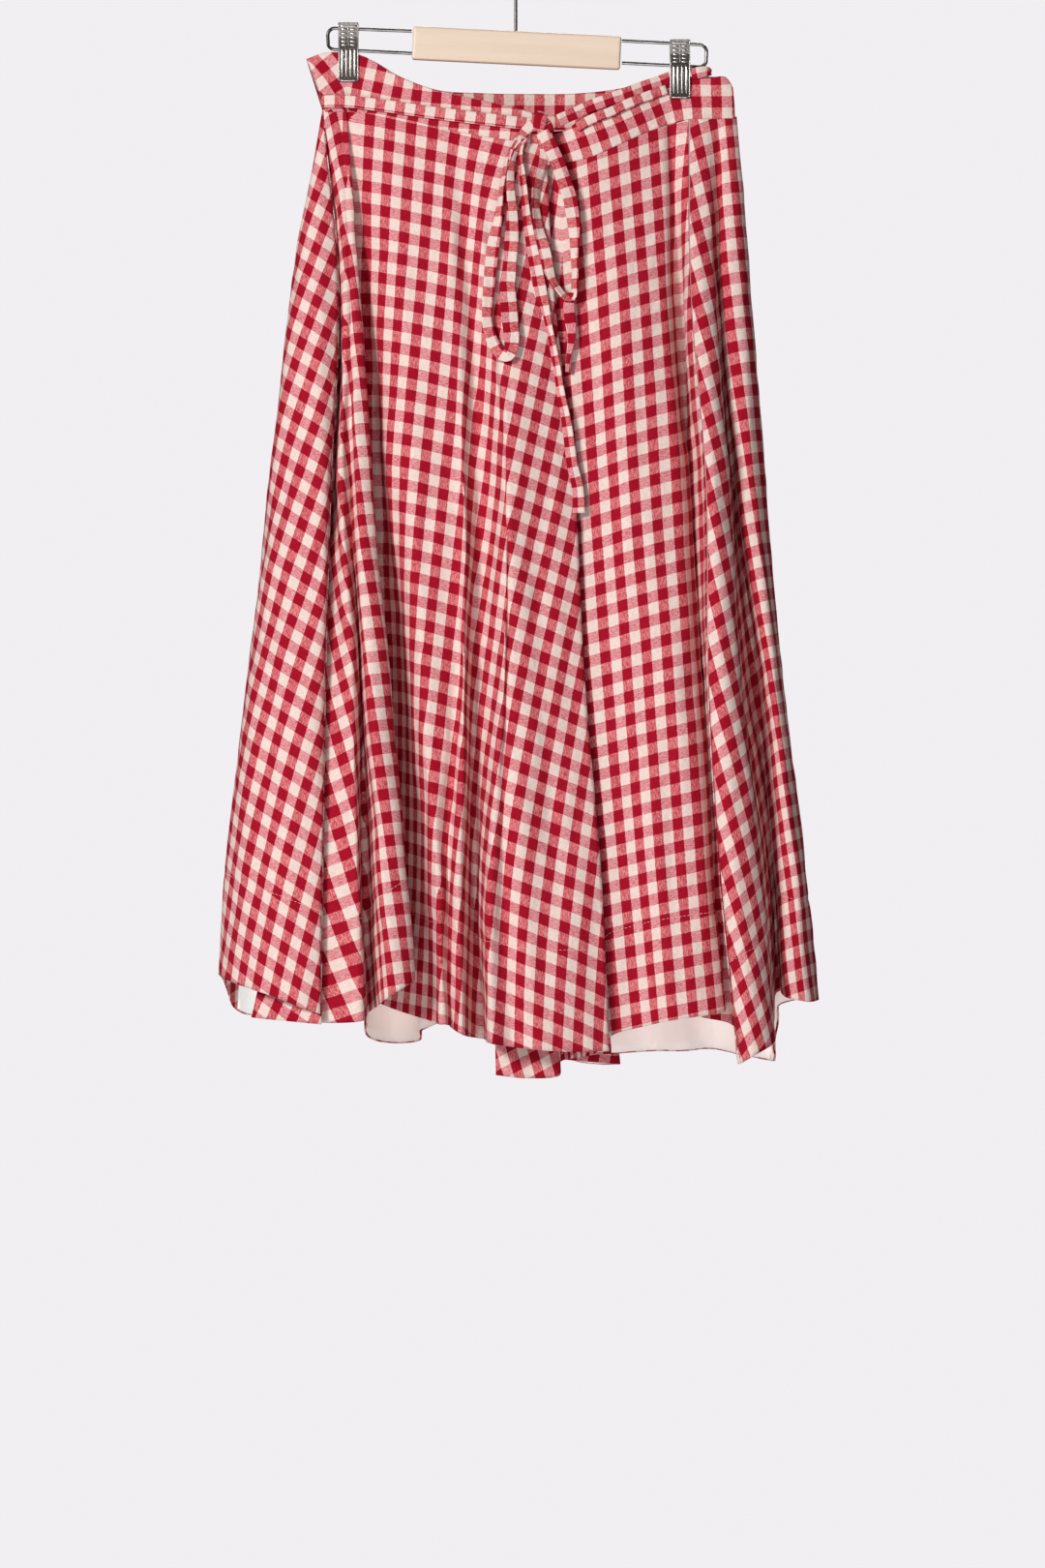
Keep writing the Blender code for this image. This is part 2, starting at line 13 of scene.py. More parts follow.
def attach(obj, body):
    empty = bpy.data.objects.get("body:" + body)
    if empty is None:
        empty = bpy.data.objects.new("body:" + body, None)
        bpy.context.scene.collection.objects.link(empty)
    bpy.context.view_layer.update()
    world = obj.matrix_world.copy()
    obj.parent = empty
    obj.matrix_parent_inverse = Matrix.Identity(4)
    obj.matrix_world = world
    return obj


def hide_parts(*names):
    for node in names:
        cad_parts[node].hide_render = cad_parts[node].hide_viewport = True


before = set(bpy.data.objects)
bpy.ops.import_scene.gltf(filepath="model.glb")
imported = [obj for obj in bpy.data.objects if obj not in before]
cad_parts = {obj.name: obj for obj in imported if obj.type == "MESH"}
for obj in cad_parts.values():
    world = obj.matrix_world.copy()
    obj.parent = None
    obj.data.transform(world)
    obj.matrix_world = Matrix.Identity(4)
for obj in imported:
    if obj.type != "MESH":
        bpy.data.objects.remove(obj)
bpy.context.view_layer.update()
print("frame loaded")


studio = {
    "cameraPlace": (0.0058, -6.0, -0.7478),
    "lens": 160.0,
    "sensor": 36.0,
    "background": (0.745, 0.725, 0.745),
    "shade": (0.95, 0.80, 0.78),     # what the pale room throws into the folds
    "skyLight": 0.14,
    "floorHeight": -1.62,
    "floorRadius": 1.35,
    "floorSides": 96,
    "floorTone": (0.80, 0.78, 0.79),
    "floorRoughness": 0.9,
}

# soft lamps: place, height they look at, power, size, colour
lamps = {
    "key": ((-2.4, -3.8, 1.0), -0.6, 134.0, 1.0, (1.0, 0.985, 0.97)),
    "fill": ((3.2, -3.4, -1.2), -0.6, 2.5, 2.4, (0.97, 0.98, 1.0)),
    "rim": ((0.6, 3.0, 0.9), -0.6, 60.0, 2.0, (0.97, 0.98, 1.0)),
    "low": ((-0.3, -3.0, -2.0), -1.05, 29.0, 1.8, (0.97, 0.98, 1.0)),
}


def aimed(item, place, target):
    # stands at a place and looks at a target
    item.location = place
    item.rotation_mode = "QUATERNION"
    item.rotation_quaternion = (Vector(target) - Vector(place)).to_track_quat("-Z", "Y")
    bpy.context.scene.collection.objects.link(item)
    return item


def makeStudio():
    scene = bpy.context.scene
    lens = bpy.data.cameras.new("camera")
    lens.lens = studio["lens"]
    lens.sensor_width = studio["sensor"]
    x, y, z = studio["cameraPlace"]
    scene.camera = aimed(bpy.data.objects.new("camera", lens), (x, y, z), (x, 0.0, z))
    for name, (place, height, power, size, colour) in lamps.items():
        lamp = bpy.data.lights.new(name, "AREA")
        lamp.size = size
        lamp.energy = power
        lamp.color = colour
        aimed(bpy.data.objects.new(name, lamp), place, (0.0, 0.0, height))

    # the sky lights the cloth less than it shows behind it
    world = bpy.data.worlds.new("studio")
    world.use_nodes = True
    scene.world = world
    tree = world.node_tree
    seen = addNode(tree, "ShaderNodeLightPath", {}, {}).outputs["Is Camera Ray"]
    tint = addNode(tree, "ShaderNodeMix", {"data_type": "RGBA"}, {
        0: seen, 6: (*studio["shade"], 1.0), 7: (*studio["background"], 1.0)})
    share = addNode(tree, "ShaderNodeMapRange", {}, {
        "Value": seen, "To Min": studio["skyLight"], "To Max": 1.0})
    plug(tree, tree.nodes["Background"], {
        "Color": tint.outputs[2], "Strength": share.outputs["Result"]})
    scene.view_settings.view_transform = "Standard"
    scene.view_settings.look = "Medium High Contrast"

    radius, height = studio["floorRadius"], studio["floorHeight"]
    turns = np.linspace(0, 2 * math.pi, studio["floorSides"], endpoint=False)
    rim = [(radius * math.cos(turn), radius * math.sin(turn), height) for turn in turns]
    mesh = bpy.data.meshes.new("floor")
    mesh.from_pydata(rim, [], [tuple(range(len(rim)))])
    floor = bpy.data.objects.new("floor", mesh)
    scene.collection.objects.link(floor)
    pale = Finish("pale floor")
    mesh.materials.append(pale.done({
        "Base Color": (*studio["floorTone"], 1.0), "Roughness": studio["floorRoughness"]}))


class Value:
    # a shader number that takes Python's own operators
    def __init__(self, tree, socket):
        self.tree = tree
        self.socket = socket

    def maths(self, operation, *others, swapped=False):
        terms = (self, *others)[::-1] if swapped else (self, *others)
        made = addNode(self.tree, "ShaderNodeMath", {"operation": operation}, dict(enumerate(terms)))
        return Value(self.tree, made.outputs[0])

    def __add__(self, other):
        return self.maths("ADD", other)

    def __sub__(self, other):
        return self.maths("SUBTRACT", other)

    def __rsub__(self, other):
        return self.maths("SUBTRACT", other, swapped=True)

    def __mul__(self, other):
        return self.maths("MULTIPLY", other)

    def __truediv__(self, other):
        return self.maths("DIVIDE", other)

    def __rtruediv__(self, other):
        return self.maths("DIVIDE", other, swapped=True)

    def __lt__(self, other):
        return self.maths("LESS_THAN", other)

    def __gt__(self, other):
        return self.maths("GREATER_THAN", other)

    __radd__ = __add__
    __rmul__ = __mul__

    def part(self):
        return self.maths("FRACT")

    def held(self):
        return self.maths("MAXIMUM", 0.0).maths("MINIMUM", 1.0)


def plug(tree, node, sockets):
    # links a node's inputs to sockets, or sets them
    for key, value in sockets.items():
        source = value.socket if isinstance(value, Value) else value
        if isinstance(source, bpy.types.NodeSocket):
            tree.links.new(source, node.inputs[key])
        else:
            node.inputs[key].default_value = source
    return node


def addNode(tree, kind, settings, sockets):
    made = tree.nodes.new(kind)
    for key, value in settings.items():
        setattr(made, key, value)
    return plug(tree, made, sockets)


class Finish:
    # a material that is built node by node
    def __init__(self, name):
        self.material = bpy.data.materials.new(name)
        self.material.use_nodes = True
        self.tree = self.material.node_tree

    def node(self, kind, settings, sockets):
        return addNode(self.tree, kind, settings, sockets)

    def split(self, vector, axes):
        made = self.node("ShaderNodeSeparateXYZ", {}, {"Vector": vector})
        return [Value(self.tree, made.outputs[axis]) for axis in axes]

    def weave(self):
        # place on the cut cloth, in metres across and down
        return self.split(self.node("ShaderNodeUVMap", {"uv_map": "weave"}, {}).outputs["UV"], "XY")

    def place(self):
        # place on the object, in metres
        return self.split(self.node("ShaderNodeTexCoord", {}, {}).outputs["Object"], "XYZ")

    def noise(self, place, marks, pattern=0.0, detail=2.0, roughness=0.5):
        # marks to the metre along each way of a place; on flat cloth a pattern picks one of many
        x, y, z = [way * mark for way, mark in zip(place, marks)] + [pattern] * (3 - len(place))
        spot = self.node("ShaderNodeCombineXYZ", {}, {"X": x, "Y": y, "Z": z})
        made = self.node("ShaderNodeTexNoise", {}, {
            "Vector": spot.outputs[0], "Scale": 1.0, "Detail": detail, "Roughness": roughness})
        return Value(self.tree, made.outputs[0])

    def blend(self, share, low, high):
        made = self.node("ShaderNodeMix", {"data_type": "RGBA"}, {0: share, 6: low, 7: high})
        return made.outputs[2]

    def bump(self, height, strength, distance, under=None):
        sockets = {"Height": height, "Strength": strength, "Distance": distance}
        if under is not None:
            sockets["Normal"] = under
        return self.node("ShaderNodeBump", {}, sockets).outputs[0]

    def done(self, sockets):
        plug(self.tree, self.tree.nodes["Principled BSDF"], sockets)
        return self.material


def rgb(red, green, blue):
    # a colour as it looks on a screen, 0 to 255, as the shader's own
    parts = []
    for part in (red, green, blue):
        part /= 255
        parts.append(part / 12.92 if part <= 0.04045 else ((part + 0.055) / 1.055) ** 2.4)
    return (*parts, 1.0)


gingham = {
    "check": 0.0088,         # width of one square
    "checkDown": 0.0098,     # its height
    "red": (174, 28, 54),
    "redDeep": (154, 17, 42),
    "cream": (242, 225, 218),
    "creamShade": (226, 204, 191),
    "warpDark": (184, 60, 78),     # squares where only the lengthwise threads are red
    "warpLight": (233, 154, 154),
    "weftDark": (198, 96, 108),    # squares where only the crosswise threads are red
    "weftLight": (238, 184, 185),
    "wander": 0.00022,       # how far the edge of a square strays
    "edgeWaves": (60, 420),  # its waves to the metre, across the edge and along it
    "threads": 1500,         # threads to the metre
    "slubs": 330,            # thick and thin places to the metre of a thread
    "clouds": (28, 22),      # uneven patches to the metre, across and down
    "creases": (55, 38),
    "creaseDepth": 0.0030,
    "threadDepth": 0.00035,
}


def makeGingham():
    linen = Finish("gingham linen")
    place = across, down = linen.weave()
    threads, slubs, edgeWaves = gingham["threads"], gingham["slubs"], gingham["edgeWaves"]
    stray = 4 * gingham["wander"]
    strayAcross = (linen.noise(place, edgeWaves, 3.1) - 0.5) * stray
    strayDown = (linen.noise(place, edgeWaves[::-1], 7.7) - 0.5) * stray
    warpRed = ((across + strayAcross) / (2 * gingham["check"])).part() < 0.5
    weftRed = ((down + strayDown) / (2 * gingham["checkDown"])).part() < 0.5
    warpSlub = linen.noise(place, (threads, slubs), 1.3, 2.0, 0.6)
    weftSlub = linen.noise(place, (slubs, threads), 4.9, 2.0, 0.6)
    grain = linen.noise(place, (threads, threads), 9.2, 1.0)
    cloud = linen.noise(place, gingham["clouds"], 2.4, 2.0)

    def mixed(slub, middle, light, dark):
        # a square where threads of one way are red: the more they cover, the darker
        cover = (slub - 0.5) * 2.6 + (grain - 0.5) * 1.2 + (cloud - 0.5) * 0.5 + middle
        return linen.blend(cover.held(), rgb(*gingham[light]), rgb(*gingham[dark]))

    slub = ((warpSlub + weftSlub - 1.0) * 2.0 + (grain - 0.5) * 0.6 + 0.38).held()
    bothRed = linen.blend(slub, rgb(*gingham["red"]), rgb(*gingham["redDeep"]))
    bothPale = linen.blend(slub, rgb(*gingham["cream"]), rgb(*gingham["creamShade"]))
    warpOnly = mixed(warpSlub, 0.52, "warpLight", "warpDark")
    weftOnly = mixed(weftSlub, 0.50, "weftLight", "weftDark")
    withoutWarp = linen.blend(weftRed, bothPale, weftOnly)
    withWarp = linen.blend(weftRed, warpOnly, bothRed)

    crumple = linen.noise(place, gingham["creases"], 5.5, 3.0, 0.55)
    soft = linen.bump(crumple, 0.7, gingham["creaseDepth"])
    woven = linen.bump(warpSlub + weftSlub + grain * 0.8, 0.35, gingham["threadDepth"], soft)
    return linen.done({
        "Base Color": linen.blend(warpRed, withoutWarp, withWarp), "Normal": woven,
        "Roughness": (grain - 0.5) * 0.12 + 0.86, "Specular IOR Level": 0.10,
        "Sheen Weight": 0.03, "Sheen Roughness": 0.6})


lining = {
    "pale": (250, 244, 240),
    "shade": (238, 228, 223),
    "threads": (1300, 1300),      # to the metre, across and down
    "clouds": (30, 24),
    "creases": (60, 45),
    "creaseDepth": 0.0025,
    "threadDepth": 0.0003,
    # painted glow: the lining emits light, standing in for daylight through the thin cotton and for the shade
    # it hangs in;
    # brightest where it hangs clear of the gingham, at the far left, dimmest where the two lie together, and
    # between these on the right
    # colours of the painted glow, and the x spans over which one gives way to the next
    "clear": (188, 204, 203),
    "brightGlowSpan": (-0.17, -0.21),      # x where it begins and where it is full
    "dimGlow": (137, 123, 117),
    "between": (180, 174, 171),
    "middleGlowSpan": (-0.05, 0.03333),
    "paintedGlow": 0.5,
}


def makeLiningFinish():
    cotton = Finish("pale lining cotton with painted glow")
    place = cotton.weave()
    grain = cotton.noise(place, lining["threads"], 2.0, 1.0)
    cloud = cotton.noise(place, lining["clouds"], 4.0, 2.0)
    worn = (cloud * 0.7 + grain * 0.5 - 0.15).held()
    crumple = cotton.noise(place, lining["creases"], 8.0, 3.0)
    soft = cotton.bump(crumple, 0.5, lining["creaseDepth"])
    # painted glow set by x: brightest at the far left, dimmest in the middle, between these on the right
    x = cotton.place()[0]
    brightGlowShare, right = [((x - start) / (full - start)).held()
                      for start, full in (lining["brightGlowSpan"], lining["middleGlowSpan"])]
    inner = cotton.blend(right, rgb(*lining["dimGlow"]), rgb(*lining["between"]))
    return cotton.done({
        "Base Color": cotton.blend(worn, rgb(*lining["pale"]), rgb(*lining["shade"])),
        "Normal": cotton.bump(grain, 0.25, lining["threadDepth"], soft),
        "Roughness": (grain - 0.5) * 0.1 + 0.8,
        "Specular IOR Level": 0.2, "Emission Strength": lining["paintedGlow"],
        "Emission Color": cotton.blend(brightGlowShare, inner, rgb(*lining["clear"]))})


wood = {
    "pale": (240, 223, 204),
    "dark": (225, 203, 180),
    "askew": 2.8,             # degrees by which the bar hangs down to the right
    "rings": (5, 40, 110),    # to the metre along the bar, through it and up it
    "fibres": (70, 900, 1500),
}


def makeWoodFinish():
    birch = Finish("pale birch")
    x, y, z = birch.place()
    place = x, y, z + x * math.tan(math.radians(wood["askew"]))
    ring = birch.noise(place, wood["rings"], 0.0, 3.0, 0.5)
    fibre = birch.noise(place, wood["fibres"], 0.0, 2.0, 0.6)
    share = ((ring - 0.5) * 1.1 + (fibre - 0.5) * 0.4 + 0.35).held()
    return birch.done({
        "Base Color": birch.blend(share, rgb(*wood["pale"]), rgb(*wood["dark"])),
        "Roughness": (fibre - 0.5) * 0.2 + 0.5, "Normal": birch.bump(fibre, 0.12, 0.0002),
        "Coat Weight": 0.12, "Coat Roughness": 0.3})


def makeThreadFinish():
    thread = Finish("pale sewing thread")
    twist = thread.noise(thread.place(), hem["twist"], 0.0, 1.0)
    return thread.done({
        "Base Color": thread.blend(twist, rgb(*hem["pale"]), rgb(*hem["dark"])),
        "Roughness": (twist - 0.5) * 0.2 + 0.7, "Normal": thread.bump(twist, 0.2, 0.0001),
        "Sheen Weight": 0.1})


# steels: colour, colour in its marks, roughness, marks to the metre along x, y and z
steels = {
    "bright steel wire": ((150, 147, 145), (88, 86, 85), 0.26, (90, 90, 900)),
    "nickelled clip plate": ((138, 134, 130), (96, 92, 89), 0.34, (900, 90, 60)),
    # the raised marks are the plate's own steel with a painted highlight: a far lighter colour
    "raised steel with painted highlight": ((240, 238, 235), (196, 193, 190), 0.26, (900, 90, 60)),
    # the pressed dots get painted shade: a dark steel colour for the shade in their hollows
    "painted shade in the clip's hollows": ((92, 88, 86), (48, 45, 44), 0.4, (300, 300, 300)),
}


def makeSteelFinish(name):
    # drawn wire and pressed plate, with faint marks along the draw
    light, dark, roughness, marks = steels[name]
    steel = Finish(name)
    place = steel.place()
    mark = steel.noise(place, marks, 0.0, 2.0, 0.6)
    blot = steel.noise(place, (160, 160, 160))
    worn = (mark * 0.8 + blot * 0.4 - 0.1).held()
    return steel.done({
        "Base Color": steel.blend(worn, rgb(*light), rgb(*dark)), "Metallic": 1.0,
        "Roughness": (mark - 0.5) * 0.2 + roughness, "Normal": steel.bump(mark, 0.08, 0.0001)})


xDrops = (0, 149, 315, 481, 647, 780)      # drops at which a fold line has an x
depthDrops = (0, 232, 506, 780)            # drops at which it has a depth
waistHeight = -175                         # of the waist seam under the hook

# fold lines: x at each of xDrops, depth at each of depthDrops, drop of the top and the hem,
# angle of the line to the lengthwise threads in degrees
overFront = {
    "facing": 1,                      # 1 where the first line is on the left seen from outside, else -1
    "seed": 11,
    "checkStart": (0.0083, -0.0008),  # place of the middle of the upper edge in the check
    "loose": (1, 2, 4, 7, 8),         # spans that lie out of sight, where the cut may give
    # line, and how far the crosswise threads sink there, in degrees at the top and at the hem
    "sink": ((0, -9, -12), (3, -9, -12), (5, 0, 0), (8, 5, 3), (10, 12, 9), (13, 12, 9),
             (15, 9, 12), (18, 8, 12)),
    # line, and how far the lengthwise threads swing there, at the top and at the hem
    "swing": ((0, 0, 0), (7, 0, 0), (9, 2, 0), (11, 2, 0), (13, 4, -2), (15, 8, -7), (18, 9, -8)),
    # creases: (drop, x) points, height in mm, reach in mm, first and last line
    "creases": (
        (((20, -101), (130, -96), (270, -89)), 1.2, 6, 9, 13),
        (((230, -72), (420, -76), (580, -70)), -1.5, 7, 10, 13),
        (((90, -20), (200, -12), (330, -2)), -1.0, 5, 14, 18),
        (((340, 14), (480, 22), (650, 36)), -1.5, 7, 15, 18),
        (((215, -11), (300, -7), (375, -4)), 1.6, 2.6, 14, 17),
        (((560, 4), (660, 10), (770, 18)), 1.3, 6, 15, 18),
        (((420, -58), (560, -62), (700, -64)), 1.2, 5, 10, 12),
        (((560, -150), (680, -146), (770, -141)), -1.2, 5, 2, 4),
    ),
    "lines": (
        ((-165, -151.5, -157.5, -161.5, -163.5, -165), (2.5, 30, 62, 84), -7.5, 777, -18),  # left side seam
        ((-164.5, -152.5, -158.5, -177, -200, -225), (2.5, 8, 44, 62), -7.5, 772, -18),
        ((-163.5, -149.5, -153.5, -157, -157, -156), (3, 20, 58, 76), -7.5, 776, -18),
        ((-155, -145.5, -149, -139, -134, -130.5), (2.8, 36, 68, 86), -7.5, 774, -18),
        ((-150, -142, -141.5, -132, -129, -125.5), (2.6, 33, 38, 50), -7.5, 768, -12),
        ((-147.5, -138, -136.5, -124, -113, -105.5), (2.8, 38, 70, 88), -7.5, 753, -8),  # crisp pleat
        ((-145, -133.5, -123, -108, -93, -84.5), (2.8, 34, 60, 76), -7.5, 740.5, -2),
        ((-146, -137, -127, -116, -110.5, -112), (2.2, 8, 20, 26), -7.5, 751, 2),
        ((-142, -130.5, -118.5, -108.5, -110.5, -123), (1.5, 2, 8, 14), -7.5, 758, 3),
        ((-138, -122, -106, -89, -75, -67), (2.6, 20, 36, 42), -7, 777, 7),
        ((-120.5, -104, -89.5, -77, -67, -62), (6, 34, 52, 56), -5.8, 778, 7.5),
        ((-77, -59, -50, -50.5, -58, -55.5), (11, 38, 46, 44), 4, 780, 8),
        ((-64.5, -50.5, -44, -44, -48, -46.5), (12, 40, 56, 62), 7.5, 786, 8.5),
        ((-52, -39, -31.5, -35.5, -35, -30), (13.5, 30, 30, 26), 10.8, 791, 9),  # main valley
        ((-37.5, -25, -10, -10, -21.5, -21), (15.5, 44, 61, 67), 13.3, 794, 10),  # crisp ridge
        ((-31.5, -19, -7.5, -7.5, -11, -4), (16, 43, 57, 58), 15, 797, 10.5),
        ((-25, -13, -5, -4, 1, 12.5), (16.5, 45, 60, 67), 15.8, 799, 11.5),
        ((-2.5, 10, 22.5, 26.5, 37.5, 47.5), (17, 40, 54, 63), 19, 801, 14.5),
        ((25, 33, 50.5, 59, 73, 79), (16, 33, 46, 54), 22.4, 800.5, 17),  # free wrap edge
    ),
}

underFront = {
    "facing": 1,
    "seed": 23,
    "checkStart": (0.0083, 0.0033),
    "loose": (3, 12),
    "sink": ((0, -15, -10), (4, -15, -9), (7, -15, -6), (13, -14, -5)),
    "swing": ((0, 2, 1), (13, 1, 0)),
    "creases": (
        (((190, 70), (260, 72), (340, 73.5)), -1.8, 3.5, 4, 8),
        (((20, 96), (150, 102), (310, 110)), -1.3, 7, 6, 9),
        (((300, 92), (460, 96), (620, 104)), 1.3, 7, 5, 8),
        (((520, 128), (640, 134), (760, 140)), -1.4, 6, 6, 10),
    ),
    "lines": (
        ((18, -11, -27.5, -27.5, -21, -18), (8, 16, 20, 24), 43, 822.5, -20),  # free edge
        ((24, 2, -7, -2.5, 6, 10), (8.5, 18, 26, 30), 42, 825, -18),
        ((29, 14, 14, 22.5, 30.5, 36.5), (9, 18, 28, 32), 41, 822, -16),
        ((33, 21, 24, 29, 35, 38), (9.5, 18, 24, 24), 40.7, 811, -8),
        ((40.5, 40.5, 47.5, 54, 60.5, 65.5), (10.5, 26, 36, 40), 38, 804, -5),
        ((49, 55.5, 60.5, 65.5, 77, 82), (11, 28.5, 38.5, 42), 36, 788, -2.5),
        ((60, 74, 80.5, 89, 97, 105.5), (11, 34, 44, 44), 33, 781, -1.7),
        ((89, 97, 101.5, 113.5, 122, 130.5), (9, 38, 52, 58), 21, 775, -2),
        ((113.5, 120.5, 126, 138.5, 148.5, 157), (6, 36, 52, 60), 10, 771, -1.8),
        ((127, 132, 141, 152, 163.5, 173.5), (4, 30, 46, 54), 5, 769, -1.5),
        ((132, 138.5, 148.5, 161, 170, 182), (2.5, 6, 30, 44), 3.3, 766, 0),
        ((133.5, 140.5, 149.5, 157, 158.5, 159.5), (2.5, 4, 22, 34), 3.3, 772, 1),
        ((142, 145, 155, 162.5, 172.5, 184.5), (4, 24, 30, 34), 1.2, 779, 8),
        ((148.5, 149, 161.5, 163, 173, 186), (4.5, 40, 62, 70), -0.8, 811, 12),  # right side seam
    ),
}

backLeft = {
    "facing": -1,
    "seed": 37,
    "silhouette": 4,          # the line where the panel turns from the front to the back
    "liningLine": 6,          # the line where the lining ends
    "checkStart": (0.0, 0.0),
    "loose": (),
    "sink": ((0, -18, -20), (4, -18, -20), (8, 0, 0)),
    "swing": ((0, 0, 0), (18, 0, 0)),
    "creases": (
        (((470, -205), (580, -212), (700, -222)), -1.6, 6, 1, 4),
        (((250, -184), (380, -192), (500, -198)), 1.3, 7, 1, 4),
        (((600, -190), (690, -194), (760, -196)), 1.2, 6, 1, 4),
    ),
    "lines": (
        ((-166, -152.5, -158.5, -162.5, -164.5, -166), (2.5, 32, 64, 86), -7.5, 768, 13.5),  # left side seam
        ((-166.5, -166, -163, -166, -173.5, -178.5), (2.4, 38, 68, 88), -7.5, 764, 13),
        ((-167, -175, -183.5, -195, -204, -208), (2, 36, 64, 82), -7.5, 753, 11),
        ((-167.5, -187, -205, -221.5, -237.5, -245), (1, 26, 46, 58), -7.5, 742, 8.7),
        ((-168, -192.5, -211, -232, -249, -257.5), (-1, 10, 22, 28), -7.5, 736, 8),  # silhouette
        ((-167.5, -191.5, -209, -230, -246.5, -253), (-3, -4, -2, 0), -7.5, 743, 7),
        ((-165, -185, -201.5, -220, -235, -242.5), (-3.6, -18, -26, -30), -7.5, 768, 5),
        ((-159.5, -175, -188.5, -203.5, -214, -220), (-3.4, -30, -48, -58), -7.5, 775, 3),
        ((-150, -162, -168.5, -178.5, -187, -191.5), (-3, -24, -34, -34), -8, 772, 2),
        ((-140, -147, -150, -155, -158, -159.5), (-2.8, -38, -60, -72), -7.5, 772, 0),
        ((-127, -128.5, -132, -133.5, -134.5, -134.5), (-4, -20, -26, -24), -5.8, 769, -2),
        ((-123.5, -125, -127, -128.5, -129.5, -129.5), (-4.5, -28, -42, -50), -5, 792, -3),
        ((-114.5, -113.5, -112, -110.5, -108, -106), (-7, -42, -66, -80), -3.3, 799, -4),
        ((-105.5, -100.5, -94, -89, -85.5, -84.5), (-8, -34, -52, -60), -1.7, 796, -5),
        ((-97, -94, -89, -85, -82, -80.5), (-9, -24, -32, -32), -0.8, 786, -6),
        ((-87, -82, -75.5, -69, -64, -61.5), (-12, -32, -44, -46), 0.8, 778, -7),
        ((-69, -62, -54, -45.5, -39, -35.5), (-15, -46, -68, -78), 4, 779, -9),
        ((-44, -37.5, -31, -24, -19, -16), (-17, -30, -38, -36), 6.6, 787, -11),
        ((-32.5, -27, -20, -13.5, -7.5, -4), (-18.5, -40, -55, -60), 7.2, 794, -13),  # centre back seam
    ),
}

backRight = {
    "facing": -1,
    "seed": 51,
    "silhouette": 14,
    "liningLine": 14,
    "checkStart": (0.0, 0.0),
    "loose": (),
    "sink": ((0, 0, 0), (14, 0, 0), (17, 11, 28), (21, 11, 28)),
    "swing": ((0, 0, 0), (14, 0, 0), (17, 0, 4), (21, 0, 4)),
    "creases": (
        (((480, 200), (600, 206), (720, 212)), -1.3, 5, 18, 21),
        (((350, 205), (480, 219), (640, 236)), 1.2, 5, 14, 16),
    ),
    "lines": (
        ((-32, -26.5, -19.5, -13, -7, -3.5), (-18.5, -40, -55, -60), 7.2, 794, 15),  # centre back seam
        ((-19, -14, -7.5, -1, 5.5, 9.5), (-20, -50, -72, -84), 7.9, 802, 13),
        ((6, 12.5, 22.5, 35, 47.5, 55.5), (-20, -42, -66, -80), 8.3, 816, 11),
        ((22.5, 30.5, 44, 59, 75.5, 87), (-20, -36, -58, -70), 8.3, 817, 9.5),
        ((27.5, 32.5, 37.5, 37.5, 37.5, 36.5), (-19.5, -28, -44, -52), 8.3, 811, 8),
        ((47.5, 55.5, 60.5, 65.5, 72, 80.5), (-19, -32, -44, -48), 7.9, 807, 7),
        ((72, 80.5, 90.5, 99, 108.5, 118.5), (-16, -40, -54, -58), 6.2, 805, 5.5),
        ((97, 105.5, 115.5, 125.5, 135.5, 143.5), (-13, -26, -34, -34), 3.3, 804, 4.5),
        ((122, 130.5, 140.5, 152, 163.5, 172), (-5.5, -40, -62, -72), 0.4, 804, 3),
        ((143, 150, 160, 173.5, 187, 196.5), (-3.2, -30, -50, -60), -0.8, 809, 2),
        ((157, 165, 177, 191.5, 208.5, 221), (-3, -34, -58, -70), -1.7, 814, 1.5),
        ((163.5, 170, 182, 198.5, 215, 224), (-3.2, -22, -38, -46), -1.7, 809, 1),
        ((170, 175, 187, 203.5, 220, 227.5), (-3, -5, -12, -14), -1.7, 765, 0.5),
        ((180.5, 187, 199, 212, 229, 240.5), (-2.8, -11, -16, -18), -1.7, 760, 0),
        ((190.5, 202, 214, 229.5, 249, 264), (-1, 0, 4, 8), -1.7, 758, -0.3),  # silhouette
        ((186, 193.5, 205, 221, 239, 251.5), (2.5, 20, 34, 40), -1.7, 759, -0.7),
        ((179.5, 180, 192.5, 213.5, 229, 234), (3.5, 18, 30, 34), -1.7, 756, -1.5),
        ((175, 175.5, 187.5, 206.5, 221.5, 226.5), (2.8, 3, 7, 9), -1.5, 751, -3),  # deep valley
        ((168.5, 172, 182.5, 195, 214, 221.5), (4, 22, 34, 36), -1.2, 780, -5),
        ((163.5, 170, 180, 190, 207.5, 218.5), (5, 34, 56, 64), -1.2, 793, -8),
        ((156, 159.5, 170, 176, 188.5, 201.5), (5.5, 42, 66, 78), -1, 803, -12.6),
        ((149.9, 150.4, 163, 164.5, 174.5, 187.5), (4.8, 41, 63, 72), -0.8, 811, -15.6),  # right side seam
    ),
}

hem = {
    "deep": 0.087,            # from the hem's edge up to its stitches
    "pull": 0.0005,           # how far they draw the cloth in, on the whole
    "pullReach": 0.0035,
    "pullWaves": 0.008,
    "pitch": 0.0036,
    "length": 0.0031,
    "thread": 0.00046,
    "lift": 0.00012,
    "spread": 0.30,
    "seed": 5,
    "pale": (250, 240, 232),
    "dark": (224, 206, 196),
    "twist": (2600, 2600, 2600),
}

